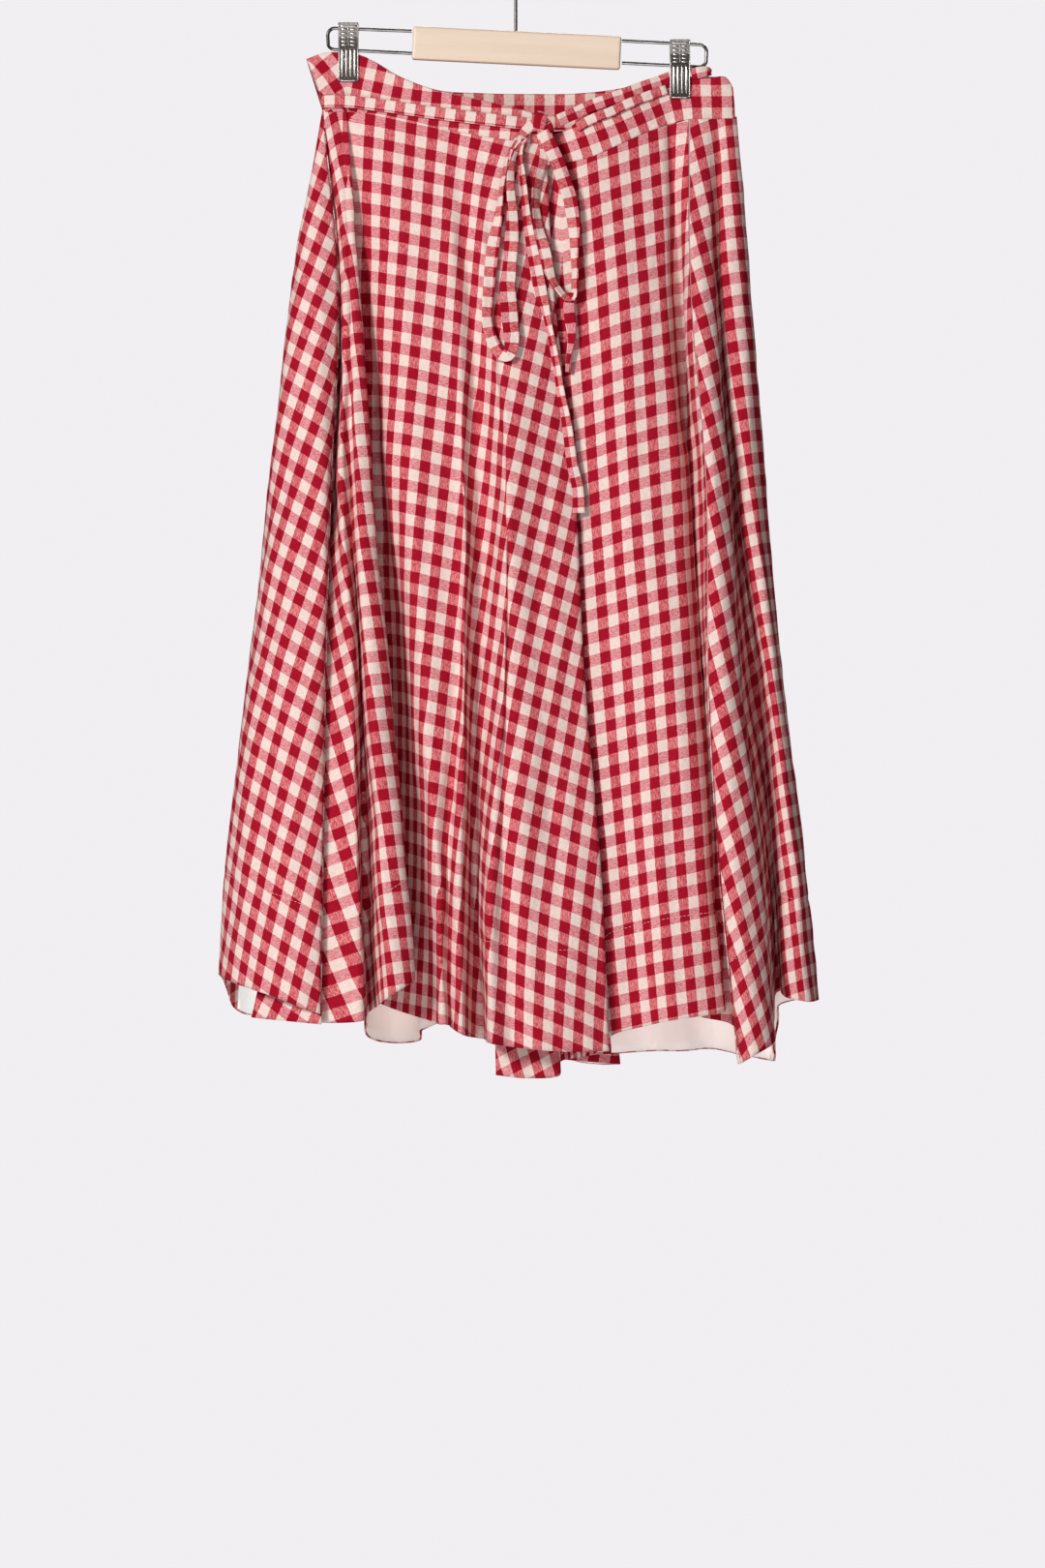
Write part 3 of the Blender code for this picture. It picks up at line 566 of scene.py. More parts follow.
cloth = {
    "cell": 0.0040,           # size of a cell of the panels at their widest
    "rows": 192,
    "cutRows": 24,            # rows of cells to one row of the flat cut
    "cutRounds": 30,
    "leanPull": 1.0,          # how strongly the lines keep the lean that their tables give
    "looseness": 0.02,        # how strongly the hidden spans keep their size
    "wall": 0.0009,
    "liningGap": 0.0008,
    "liningRise": 1.2,        # of the lining's hem over the gingham's, in mm
    "frontHem": -0.925,       # height under which the lining shows below the front panels
    "creaseFade": 45,         # millimetres over which a crease begins and ends
    "creaseWobble": (0.4, 30),      # share of its height, and mm from one wave to the next
    "bandFade": 0.12,         # metres under the waist seam where the cloth is still smooth
    "seamFade": 6,            # columns beside a seam where it is smooth
}

# uneven hollows of the panels: height, spacing across and down in metres, shift in the noise
hollows = ((0.0022, 0.030, 0.16, 0), (0.0012, 0.014, 0.060, 0), (0.0005, 0.009, 0.016, 9))


def follow(stations, values, at):
    # smooth curve through the stations, straight beyond its two ends
    s, v = np.array(stations, float), np.array(values, float)
    slope = np.empty(len(v))
    slope[1:-1] = (v[2:] - v[:-2]) / (s[2:] - s[:-2])
    slope[0] = (v[1] - v[0]) / (s[1] - s[0])
    slope[-1] = (v[-1] - v[-2]) / (s[-1] - s[-2])
    i = np.clip(np.searchsorted(s, at, side="right") - 1, 0, len(v) - 2)
    span = s[i + 1] - s[i]
    raw = (at - s[i]) / span
    t = np.clip(raw, 0, 1)
    curve = ((1 + 2 * t) * (1 - t) ** 2 * v[i] + t * (1 - t) ** 2 * span * slope[i]
             + t * t * (3 - 2 * t) * v[i + 1] + t * t * (t - 1) * span * slope[i + 1])
    before, beyond = (at - s[0]) * slope[0], (at - s[-1]) * slope[-1]
    return curve + np.where(raw > 1, beyond, 0) + np.where(raw < 0, before, 0)


def onGarment(x, drop, depth):
    # millimetres on the garment to metres in space
    return np.stack(np.broadcast_arrays(np.asarray(x, float), -np.asarray(depth, float),
                                        waistHeight - np.asarray(drop, float)), axis=-1) / 1000


def curveThrough(knots, counts):
    # centripetal curve through knots[line, row], with a number of steps to each span
    ends = np.concatenate([[2 * knots[0] - knots[1]], knots, [2 * knots[-1] - knots[-2]]])
    pieces = []
    for i in range(len(knots) - 1):
        p0, p1, p2, p3 = ends[i:i + 4]
        t1 = np.maximum(np.linalg.norm(p1 - p0, axis=-1), 1e-6)[..., None] ** 0.5
        t2 = t1 + np.maximum(np.linalg.norm(p2 - p1, axis=-1), 1e-6)[..., None] ** 0.5
        t3 = t2 + np.maximum(np.linalg.norm(p3 - p2, axis=-1), 1e-6)[..., None] ** 0.5
        steps = counts[i]
        for k in range(steps + (i == len(knots) - 2)):
            t = t1 + (t2 - t1) * k / steps
            a1 = p0 * ((t1 - t) / t1) + p1 * (t / t1)
            a2 = p1 * ((t2 - t) / (t2 - t1)) + p2 * ((t - t1) / (t2 - t1))
            a3 = p2 * ((t3 - t) / (t3 - t2)) + p3 * ((t - t2) / (t3 - t2))
            b1 = a1 * ((t2 - t) / t2) + a2 * (t / t2)
            b2 = a2 * ((t3 - t) / (t3 - t1)) + a3 * ((t - t1) / (t3 - t1))
            pieces.append(b1 * ((t2 - t) / (t2 - t1)) + b2 * ((t - t1) / (t2 - t1)))
    return np.stack(pieces, axis=-2)


def flatCut(net, lean, stiffness, pull):
    # lays a net flat with as little stretch as it can: complex places on the cloth, across + 1j down
    rows, columns = net.shape[:2]
    points = net.reshape(-1, 3)
    corner = np.arange(rows * columns).reshape(rows, columns)
    a, b = corner[:-1, :-1].ravel(), corner[:-1, 1:].ravel()
    c, d = corner[1:, :-1].ravel(), corner[1:, 1:].ravel()
    cells = (rows - 1, columns - 1)
    weight = np.broadcast_to(stiffness, cells).ravel()
    aim = np.broadcast_to(np.exp(1j * (math.pi / 2 - (lean[1:] + lean[:-1]) / 2)), cells).ravel()
    down = points[c] - points[a] + points[d] - points[b]
    side = points[b] - points[a] + points[d] - points[c]

    triangles = np.concatenate([np.stack(t, 1) for t in ((a, c, b), (d, b, c), (c, d, a), (b, a, d))])
    weight, aim = np.tile(weight, 4), np.tile(aim, 4)
    down, side = np.tile(down, (4, 1)), np.tile(side, (4, 1))
    p = points[triangles]
    normal = np.cross(p[:, 1] - p[:, 0], p[:, 2] - p[:, 0])
    twice = np.maximum(np.linalg.norm(normal, axis=1), 1e-12)
    normal /= twice[:, None]
    down -= normal * (down * normal).sum(1, keepdims=True)
    down /= np.linalg.norm(down, axis=1, keepdims=True)
    across = np.cross(normal, down)
    across *= np.sign((across * side).sum(1, keepdims=True))
    local = np.einsum("tij,tj->ti", p - p[:, :1], down) - 1j * np.einsum("tij,tj->ti", p - p[:, :1], across)

    size = len(points)
    stiff = np.zeros((size, size))
    edges = []
    for i, j, k in ((0, 1, 2), (1, 2, 0), (2, 0, 1)):
        arms = (p[:, i] - p[:, k]) * (p[:, j] - p[:, k])
        share = np.maximum(arms.sum(1) / twice, 0.01) * weight
        first, last = triangles[:, i], triangles[:, j]
        edges.append((share, first, last, local[:, i] - local[:, j]))
        np.add.at(stiff, (first, first), share)
        np.add.at(stiff, (last, last), share)
        np.add.at(stiff, (first, last), -share)
        np.add.at(stiff, (last, first), -share)
    stiff[0, 0] += 1.0
    solver = np.linalg.inv(stiff)
    turn = aim
    for _ in range(cloth["cutRounds"]):
        load = np.zeros(size, complex)
        for share, first, last, gap in edges:
            push = share * turn * gap
            load += np.bincount(first, push.real, size) + 1j * np.bincount(first, push.imag, size)
            load -= np.bincount(last, push.real, size) + 1j * np.bincount(last, push.imag, size)
        flat = solver @ load.real + 1j * (solver @ load.imag)
        fit = sum(share * np.conj(gap) * (flat[first] - flat[last]) for share, first, last, gap in edges)
        turn = fit / np.maximum(np.abs(fit), 1e-15) + pull * aim
        turn /= np.abs(turn)
    return (flat - flat[0]).reshape(rows, columns)


def asWeave(flat, start):
    # complex places as thread coordinates, shifted so that the first point lies at start
    return np.stack([flat.real + start[0], flat.imag + start[1]], axis=-1)


def threadSlope(table, weave, starts):
    # slopes over a net, from the angles of a table at its lines
    lines, top, foot = zip(*table)
    place = np.interp(np.arange(weave.shape[1]), starts, np.arange(len(starts)))
    share = np.linspace(0, 1, len(weave))[:, None]
    angle = (1 - share) * np.interp(place, lines, top) + share * np.interp(place, lines, foot)
    return np.tan(np.radians(angle))


def running(steps, axis):
    # running sum that starts at nothing
    return np.concatenate([np.zeros_like(np.take(steps, [0], axis)), np.cumsum(steps, axis=axis)], axis=axis)


def clothNet(panel, hemRise=0.0):
    # points and thread coordinates of a panel, row by row from its top to its hem
    lines = panel["lines"]
    share = np.linspace(0, 1, cloth["rows"] + 1)
    knots = []
    for xs, depths, top, foot, _ in lines:
        drop = top + (foot - hemRise - top) * share
        knots.append(onGarment(follow(xDrops, xs, drop), drop, follow(depthDrops, depths, drop)))
    knots = np.array(knots)
    widest = np.linalg.norm(np.diff(knots, axis=0), axis=-1).max(axis=1)
    counts = [max(3, math.ceil(width / cloth["cell"])) for width in widest]
    net = curveThrough(knots, counts)

    starts = np.concatenate([[0], np.cumsum(counts)])
    leans = [math.radians(line[4]) * panel["facing"] for line in lines]
    lean = np.interp(np.arange(net.shape[1]), starts, leans)
    hold = [cloth["looseness"] if i in panel["loose"] else 1.0 for i in range(len(counts))]
    stiffness = np.repeat(hold, counts)
    coarse = np.arange(0, cloth["rows"] + 1, cloth["cutRows"])
    flat = flatCut(net[coarse], lean, stiffness, cloth["leanPull"])
    blend = np.stack([follow(coarse, unit, np.arange(cloth["rows"] + 1)) for unit in np.eye(len(coarse))])
    fine = np.einsum("kr,kc->rc", blend, flat)
    weave = asWeave(fine - fine[0, len(fine[0]) // 2], panel["checkStart"])

    # linen gives on the bias, so its threads sink and swing out of square
    sink, swing = threadSlope(panel["sink"], weave, starts), threadSlope(panel["swing"], weave, starts)
    still = np.abs(weave[len(weave) // 2, :, 0]).argmin()
    sunk = running(np.diff(weave[..., 0], axis=1) * (sink[:, 1:] + sink[:, :-1]) / 2, 1)
    weave[..., 1] -= sunk - sunk[:, still:still + 1]
    weave[..., 0] += running(np.diff(weave[..., 1], axis=0) * (swing[1:] + swing[:-1]) / 2, 0)
    return net, weave, starts


def outward(net, facing):
    # unit normals of a net; facing is 1 where its first column is on the left seen from outside
    normal = np.cross(np.gradient(net, axis=0), np.gradient(net, axis=1))
    return facing * normal / np.maximum(np.linalg.norm(normal, axis=-1, keepdims=True), 1e-9)


def softNoise(u, v, seed):
    # smooth random hills, about one unit apart
    size = 64
    hills = np.random.default_rng(seed).uniform(-1, 1, (size, size))
    i, j = np.floor(u).astype(int), np.floor(v).astype(int)
    s, t = u - i, v - j
    s, t = s * s * (3 - 2 * s), t * t * (3 - 2 * t)
    i0, j0, i1, j1 = i % size, j % size, (i + 1) % size, (j + 1) % size
    return (hills[i0, j0] * (1 - s) * (1 - t) + hills[i1, j0] * s * (1 - t)
            + hills[i0, j1] * (1 - s) * t + hills[i1, j1] * s * t)


def addPiece(name, points, faces, corners, finish):
    # points, faces and the thread coordinates at every corner of the faces make one piece
    mesh = bpy.data.meshes.new(name)
    mesh.from_pydata(points.tolist(), [], faces)
    layer = mesh.uv_layers.new(name="weave")
    layer.data.foreach_set("uv", np.asarray(corners, np.float32).ravel())
    mesh.materials.append(finish)
    mesh.shade_smooth()
    piece = bpy.data.objects.new(name, mesh)
    bpy.context.scene.collection.objects.link(piece)
    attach(piece, "root")
    return piece


def netFaces(rows, columns, facing):
    corner = (np.arange(rows - 1)[:, None] * columns + np.arange(columns - 1)[None]).ravel()
    order = (0, columns, columns + 1, 1) if facing > 0 else (0, 1, columns + 1, columns)
    return np.stack([corner + step for step in order], axis=1)


def clothPiece(name, net, weave, facing, finish):
    rows, columns = net.shape[:2]
    faces = netFaces(rows, columns, facing)
    corners = weave.reshape(-1, 2)[faces]
    piece = addPiece(name, net.reshape(-1, 3), faces.tolist(), corners, finish)
    shell = piece.modifiers.new("wall", "SOLIDIFY")
    shell.thickness = cloth["wall"]
    shell.offset = -1
    return piece


def tubePiece(name, tubes, finish):
    # closed tubes: rings of points, and thread coordinates with one more place round each ring;
    # a tube that is closed along its run too has one more row of coordinates
    points, faces, corners = [], [], []
    base = 0
    for rings, weave in tubes:
        runs, sides = rings.shape[:2]
        looped = len(weave) > runs
        lengths = runs if looped else runs - 1
        k, j = np.divmod(np.arange(lengths * sides), sides)
        k1, j1 = (k + 1) % runs, (j + 1) % sides
        quads = np.stack([k * sides + j, k * sides + j1, k1 * sides + j1, k1 * sides + j], axis=1)
        spots = np.stack([weave[k, j], weave[k, j + 1], weave[k + 1, j + 1], weave[k + 1, j]], axis=1)
        flat = rings.reshape(-1, 3)
        p = flat[quads] - flat.mean(axis=0)
        volume = (np.cross(p[:, 0], p[:, 1]) * p[:, 2]).sum() + (np.cross(p[:, 0], p[:, 2]) * p[:, 3]).sum()
        if volume < 0:
            quads, spots = quads[:, ::-1], spots[:, ::-1]
        points.append(flat)
        faces += (quads + base).tolist()
        corners.append(spots.reshape(-1, 2))
        if not looped:
            for end, turned in ((0, volume > 0), (runs - 1, volume < 0)):
                cap = np.arange(sides)[::-1] if turned else np.arange(sides)
                faces.append((cap + end * sides + base).tolist())
                corners.append(weave[end, cap])
        base += len(flat)
    return addPiece(name, np.concatenate(points), faces, np.concatenate(corners), finish)


def edgeFade(columns, reach):
    # 0 at the side edges of a net, 1 inside
    place = np.minimum(np.arange(columns), np.arange(columns)[::-1]) / reach
    return np.clip(place, 0, 1)


def ease(t):
    t = np.clip(t, 0, 1)
    return t * t * (3 - 2 * t)


def crumpled(panel, net, weave, starts):
    # creases as the tables list them, and small uneven hollows, none where the piece is sewn
    across, along = weave[..., 0], weave[..., 1]
    steps = np.linalg.norm(np.diff(net, axis=0), axis=-1)
    down = running(steps, 0)
    up = down[-1:] - down
    seed = panel["seed"]
    height = sum(tall * softNoise(across / wide + shift, along / long, seed + k)
                 for k, (tall, wide, long, shift) in enumerate(hollows))
    drop = -1000 * net[..., 2] + waistHeight
    wobble, wave = cloth["creaseWobble"]
    for points, tall, reach, first, last in panel["creases"]:
        drops, xs = zip(*points)
        away = (1000 * net[..., 0] - follow(drops, xs, drop)) / reach
        top, foot = (drop - drops[0]) / cloth["creaseFade"], (drops[-1] - drop) / cloth["creaseFade"]
        inside = np.zeros(net.shape[1])
        inside[starts[first]:starts[last] + 1] = 1
        uneven = 1 + wobble * softNoise(drop / wave, np.full_like(drop, float(first)), seed + 5)
        fold = tall / 1000 * np.exp(-away ** 2) * ease(top + 0.3) * ease(foot + 0.3)
        height = height + fold * inside * uneven

    # the hem's stitched line draws the cloth in a little
    pull = np.exp(-((up - hem["deep"]) / hem["pullReach"]) ** 2)
    height = height - pull * hem["pull"] * (1 + softNoise(across / hem["pullWaves"], along * 0, seed + 7))
    height = height * ease(down / cloth["bandFade"]) * edgeFade(net.shape[1], cloth["seamFade"])[None, :]
    return net + outward(net, panel["facing"]) * height[..., None]


def makePanels(finish):
    made = {}
    for name, panel in (("panel_over_front", overFront), ("panel_under_front", underFront),
                        ("panel_back_left", backLeft), ("panel_back_right", backRight)):
        net, weave, starts = clothNet(panel)
        net = crumpled(panel, net, weave, starts)
        piece = clothPiece("cloth_" + name, net, weave, panel["facing"], finish)
        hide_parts(name)
        made[name] = {"piece": piece, "net": net, "starts": starts, "facing": panel["facing"]}
        print("cloth", name, net.shape)
    return made


def makeLining(panels, finish):
    # from one silhouette to the other, inside the back panels
    halves = []
    for panel, kept in ((backLeft, lambda edge: slice(edge, -1)), (backRight, lambda edge: slice(edge + 1))):
        net, weave, starts = clothNet(panel, cloth["liningRise"])
        columns = kept(starts[panel["liningLine"]])
        halves.append((crumpled(panel, net, weave, starts)[:, columns], weave[:, columns]))
    (left, leftWeave), (right, rightWeave) = halves
    rightWeave = rightWeave + leftWeave[:1, -1:] - rightWeave[:1, :1]
    net, weave = np.concatenate([left, right], axis=1), np.concatenate([leftWeave, rightWeave], axis=1)
    net = net - outward(net, -1) * (cloth["wall"] + cloth["liningGap"])
    net, weave = net[::2], weave[::2]

    # the room from the front layer back to the rear one
    graph = bpy.context.evaluated_depsgraph_get()
    layers = [BVHTree.FromObject(panel["piece"], graph) for panel in panels.values()]
    clear = cloth["wall"] + cloth["liningGap"] / 2
    rows, columns = net.shape[:2]
    room = np.full((2, rows * columns), np.nan)
    for k, (x, _, z) in enumerate(net.reshape(-1, 3)):
        fronts = [layer.ray_cast(Vector((x, -1.0, z)), Vector((0, 1, 0)))[0] for layer in layers]
        backs = [layer.ray_cast(Vector((x, 1.0, z)), Vector((0, -1, 0)))[0] for layer in layers]
        if any(fronts):
            room[0, k] = min(hit.y for hit in fronts if hit) + clear
            room[1, k] = max(hit.y for hit in backs if hit) - clear
    low, high = room.reshape(2, rows, columns)

    # a place next to the edge of a fold has no more room than the place beyond it
    beside = np.pad(high, 1, mode="edge")
    high = np.fmin.reduce([beside[i:i + rows, j:j + columns] for i in range(3) for j in range(3)])
    y = net[..., 1]
    squeezed = np.where(net[..., 2] > cloth["frontHem"], (low + high) / 2, y)
    between = np.where(low < high, np.clip(y, low, np.maximum(low, high)), squeezed)
    net[..., 1] = np.where(np.isnan(low) | np.isnan(high), y, between)
    piece = clothPiece("cloth_lining_back", net, weave, -1, finish)
    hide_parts("lining_back")
    return piece


# stations of a band: x on the waist seam, then x, drop and depth of its upper edge
bandOver = {
    "facing": 1,
    "seed": 61,
    "checkStart": (0.0, 0.010),
    # x, and turn of the check there in degrees
    "lean": ((-150, -28), (-147, 14), (-110, 16), (-60, 12), (0, 7), (24, 5)),
    "breaks": (-150, -146),      # between these x the cloth is creased
    "stations": (
        (-164.5, -180, -50.5, 1.4), (-160, -166, -55.5, 1.8), (-151, -156, -56.5, 1.6),
        (-142, -142, -55, 1.6), (-128.5, -130, -52.5, 2.2), (-112, -112, -41.5, 5),
        (-95.5, -98, -34, 8), (-73, -77, -25.5, 11.5), (-44, -47, -17.5, 14.5), (-15, -17.5, -11, 17),
        (10, 10, -4, 17.5), (24.5, 22.5, 1.5, 17),
    ),
}

bandUnder = {
    "facing": 1,
    "seed": 67,
    "checkStart": (0.0, 0.0065),
    "lean": ((31, -10), (90, -14), (125, -14), (145, 0), (184, 2)),
    "breaks": (0, 0),
    "stations": (
        (35, 31, 12.5, 9), (47.5, 44, 11, 9.5), (55.5, 51.5, 5, 10), (72, 66.5, -5, 10.5),
        (91.5, 84.5, -14, 9), (109.5, 101.5, -22.5, 6.5), (129.5, 122, -30, 3),
        (138.5, 134.5, -33, 1.8), (149.5, 148.5, -34, 1.8), (167, 167.5, -34, 3),
        (180, 177.5, -35.5, 3), (185, 182.5, -33.5, 2.4), (188.5, 187, -26, 1.6),
    ),
}

bandBack = {
    "facing": -1,
    "seed": 71,
    "checkStart": (0.0, -0.0045),
    "lean": ((-180, 0), (184, 0)),
    "breaks": (0, 0),
    "stations": (
        (-166.5, -180, -50, -1.6), (-156, -156, -55, -1.6), (-142, -142, -56.5, -1.6),
        (-123, -124, -50, -4), (-98, -98, -35.5, -10), (-69, -69, -25.5, -15), (-27.5, -27.5, -23, -20),
        (14, 14, -22.5, -22), (55.5, 55.5, -23, -20), (89, 89, -26.5, -15), (113.5, 113.5, -31.5, -9),
        (130, 130, -34.5, -1.6), (149.5, 148.5, -35.5, -1.6), (172, 172, -35.5, -2.6),
        (185, 181, -35.5, -1.6),
    ),
}

band = {
    "rows": 12,
    "cell": 0.0035,
    "flare": 1.6,             # how late a band's ends lean out on their way up
    "lap": 0.0018,            # how far it reaches down over the panel
    "proud": 0.0006,          # how far it stands in front of the panel
    "thick": 0.0017,
    "foldSpan": 0.0026,       # cloth that the fold at the top takes up
    "foldSteps": 4,
    "ripple": (0.0006, 0.016, 0.03),      # height, spacing across and down
    "leanPull": 1.0,
}


def edgePoint(edge, x):
    # point of an edge that runs left to right, at a given x in metres
    place = np.clip(x, edge[:, 0].min(), edge[:, 0].max())
    order = np.argsort(edge[:, 0], kind="stable")
    return np.stack([np.interp(place, edge[order, 0], edge[order, k]) for k in range(3)], axis=-1)


def makeBand(name, shape, edge, finish):
    stations = np.array(shape["stations"], float)
    foot = edgePoint(edge, stations[:, 0] / 1000)
    top = onGarment(stations[:, 1], stations[:, 2], stations[:, 3])
    rise = np.linspace(1, 0, band["rows"] + 1)
    knots = foot[:, None] + (top - foot)[:, None] * rise[None, :, None]
    knots[..., 0] = foot[:, None, 0] + (top[:, None, 0] - foot[:, None, 0]) * rise ** band["flare"]
    spans = np.linalg.norm(np.diff(top, axis=0), axis=-1)
    net = curveThrough(knots, [max(3, math.ceil(span / band["cell"])) for span in spans])
    net[-1, :, 1:] = edgePoint(edge, net[-1, :, 0])[:, 1:]
    last = net[-1] - net[-2]
    last *= band["lap"] / np.linalg.norm(last, axis=-1, keepdims=True)
    net = np.concatenate([net, net[-1:] + last])

    xs = 1000 * net[0, :, 0]
    lean = np.radians(np.interp(xs, *zip(*shape["lean"]))) * shape["facing"]
    creased = (xs[1:] > shape["breaks"][0]) & (xs[:-1] < shape["breaks"][1])
    flat = flatCut(net, lean, np.where(creased, cloth["looseness"], 1.0), band["leanPull"])
    weave = asWeave(flat - flat[0, :1].real, shape["checkStart"])
    away = outward(net, shape["facing"])
    tall, wide, long = band["ripple"]
    ripple = tall * softNoise(weave[..., 0] / wide, weave[..., 1] / long, shape["seed"])
    ripple = ripple * np.linspace(1, 0, len(net))[:, None]
    front = net + away * (band["proud"] + ripple)[..., None]
    back = net + away * (band["proud"] - band["thick"] + ripple)[..., None]
    up = net[0] - net[1]
    up /= np.linalg.norm(up, axis=-1, keepdims=True)
    middle, reach = (front[0] + back[0]) / 2, (front[0] - back[0]) / 2
    steps = band["foldSteps"]
    turns = [math.pi * k / steps for k in range(1, steps)]
    fold = [middle - reach * math.cos(turn) + up * (band["thick"] / 2 * math.sin(turn)) for turn in turns]
    rings = np.concatenate([front, back[::-1], np.array(fold)]).transpose(1, 0, 2)

    # the check runs down the outside, and over the fold down the inside
    inner = weave.copy()
    inner[..., 1] = 2 * shape["checkStart"][1] - band["foldSpan"] - weave[..., 1]
    crest = [inner[0] + (weave[0] - inner[0]) * k / steps for k in range(1, steps + 1)]
    places = np.concatenate([weave, inner[::-1], np.array(crest)]).transpose(1, 0, 2)
    piece = tubePiece("cloth_" + name, [(rings, places)], finish)
    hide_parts(name)
    return piece


def makeBands(panels, finish):
    left, right = panels["panel_back_left"], panels["panel_back_right"]
    bend, turn = left["starts"][backLeft["silhouette"]], right["starts"][backRight["silhouette"]]
    overEdge = panels["panel_over_front"]["net"][0]
    underEdge = np.concatenate([panels["panel_under_front"]["net"][0], right["net"][0, turn:][::-1]])
    backEdge = np.concatenate([left["net"][0, bend:], right["net"][0, :turn + 1]])
    made = {
        "band_over": makeBand("band_over", bandOver, overEdge, finish),
        "band_under": makeBand("band_under", bandUnder, underEdge, finish),
        "band_back": makeBand("band_back", bandBack, backEdge, finish),
    }
    print("waistbands")
    return made


# stations of a tie that stands on its edge: x, drop, depth of its outer face; "outer" is 1 where
# that face is on the left of its run, seen from above
tieOver = {
    "checkStart": (0.0086, 0.0085), "seed": 81, "outer": 1, "width": 10.5,
    "stations": (
        (18, 8, 21), (10, 6.5, 21.6), (-15, 3.5, 21.6), (-44, 0, 19.2), (-73, -4, 15.8),
        (-96, -7.5, 13), (-112, -10, 10.6), (-128, -12.2, 8.4), (-142, -14, 7), (-156, -14.6, 6),
        (-163, -14.6, 4.8), (-167, -14.6, 2.4), (-167.6, -14.6, -0.6), (-165.5, -14.6, -3.6),
        (-156, -14.4, -5.4), (-142, -14.2, -5.4), (-123, -14, -7.4), (-98, -13, -12.2),
        (-69, -11, -17.6), (-27.5, -8.5, -22.6), (14, -8, -24.4), (55.5, -10, -22.4),
        (89, -13.5, -17.6), (113.5, -17, -12), (134.5, -19, -6.6), (149.5, -19.5, -6.4),
        (172, -20, -6.6), (179, -20.2, -5.6), (184, -20.3, -4.2),
    ),
}

tieUnderTop = {
    "checkStart": (0.010, 0.0045), "seed": 83, "outer": -1, "width": 10.5,
    "stations": (
        (37, 3, 17.5), (50, -3, 14.5), (66.5, -10.5, 13.4), (89, -18.5, 11.7), (110, -26.5, 7.6),
        (124, -31.5, 4.2), (133, -35, 3.6), (143, -37, 3.6), (150, -37.5, 3.8),
    ),
}

tieUnderLow = {
    "checkStart": (0.0, 0.0095), "seed": 85, "outer": -1, "width": 8.5,
    "stations": (
        (53, 8.5, 14.2), (66, 1.5, 14.6), (80, -4, 14), (96, -11.5, 12), (112, -18, 8.9),
        (124, -22.5, 6.4), (130, -24.5, 5.6),
    ),
}

tieLoop = {
    "checkStart": (0.004, 0.006), "seed": 87, "outer": -1,
    "width": (10, 10, 9.6, 8.4, 5.6, 4.6, 7, 8),      # at each of its stations
    "stations": (
        (151, -38, 3.9), (157, -39.2, 5.4), (162, -40, 5), (166, -40.2, 3.6), (168.6, -39.8, 1.6),
        (168.4, -39.6, -0.8), (163, -40, -3.4), (156, -40, -4.2),
    ),
}

# stations of a tie that hangs: x, drop, lift off the over panel, width, turn about its run in degrees
bowLeft = {
    "checkStart": (0.003, 0.0125), "seed": 91,
    "stations": (
        (19.5, 4.5, 6.8, 9, 0), (12.5, 9, 6, 9, 0), (4.2, 17.5, 5.8, 8.5, 25), (-3.3, 27.5, 6, 8, 55),
        (-8.3, 41.5, 6, 8, 62), (-11.6, 56.5, 5.8, 8, 66), (-13.7, 73, 5.4, 8, 58),
        (-15.8, 89.5, 5, 9, 38), (-18.7, 108, 4.4, 10.8, 8), (-21.2, 128.5, 4, 10.6, 0),
        (-22.8, 147, 4, 9.8, -4), (-24.1, 163.5, 4, 9.4, -8), (-24.2, 176, 4.2, 9.4, -14),
        (-22.4, 187, 4.4, 9.8, -6), (-18.3, 197.5, 4.6, 10.2, 0), (-12.5, 205.5, 4.8, 10.4, 0),
        (-6.8, 206.5, 5, 11, 0), (-4, 200, 5.2, 12, 0), (-3.3, 190, 5.4, 13.4, 4),
        (-4.6, 178, 5.6, 14.4, 8), (-5.6, 164.5, 5.8, 14.6, 10), (-6.6, 152, 6, 14, 8),
        (-6.2, 138.5, 6.2, 12.4, 0), (-5, 124.5, 6.4, 11.6, -6), (-3.7, 108, 6.6, 12.4, 0),
        (-2.9, 89.5, 6.8, 10, 6), (-3.7, 72, 7, 8.2, 12), (-4.3, 58, 7.2, 7.6, 22),
        (-3.7, 43, 7.2, 8, 38), (-0.8, 30, 7.2, 8, 32), (6.6, 17.5, 7, 8.4, 0),
    ),
}

bowRight = {
    "checkStart": (0.004, 0.0125), "seed": 93,
    "stations": (
        (21, 9, 8, 8, 0), (24.5, 16, 8.4, 10.5, 0), (29, 25, 8.8, 12.2, -4), (33.5, 35, 9, 12.6, -6),
        (38, 46, 9, 12.6, -8), (42, 57.5, 8.8, 12.4, -8), (46, 69, 8.6, 12, -8),
        (48.2, 80.5, 8.2, 11.6, -4), (49.6, 93, 7.8, 10.8, 8), (50, 105.5, 7.6, 9.6, 26),
        (49.8, 118, 7.4, 9, 44), (50.2, 133, 7, 9, 52), (49.8, 147, 6.6, 8.6, 56),
        (48.4, 156.5, 6.4, 7, 50), (43.5, 156, 6.2, 6.6, 40), (38, 150, 6, 7.4, 44),
        (32.4, 142, 5.8, 8, 38), (28.2, 132, 5.6, 9.4, 14), (25.7, 121, 5.4, 10.4, 0),
        (23.2, 110, 5.4, 10, 8), (20.3, 98, 5.4, 9.6, 30), (18.3, 83, 5.2, 9.6, 46),
        (17.4, 69, 5.2, 9.6, 50), (18.7, 56.5, 5.2, 9.4, 42), (21.6, 45, 5.4, 9, 28),
        (24.5, 33.5, 5.8, 8, 20), (23.2, 22.5, 6.2, 6.4, 10), (20.8, 15, 6.4, 6.4, 0),
    ),
}

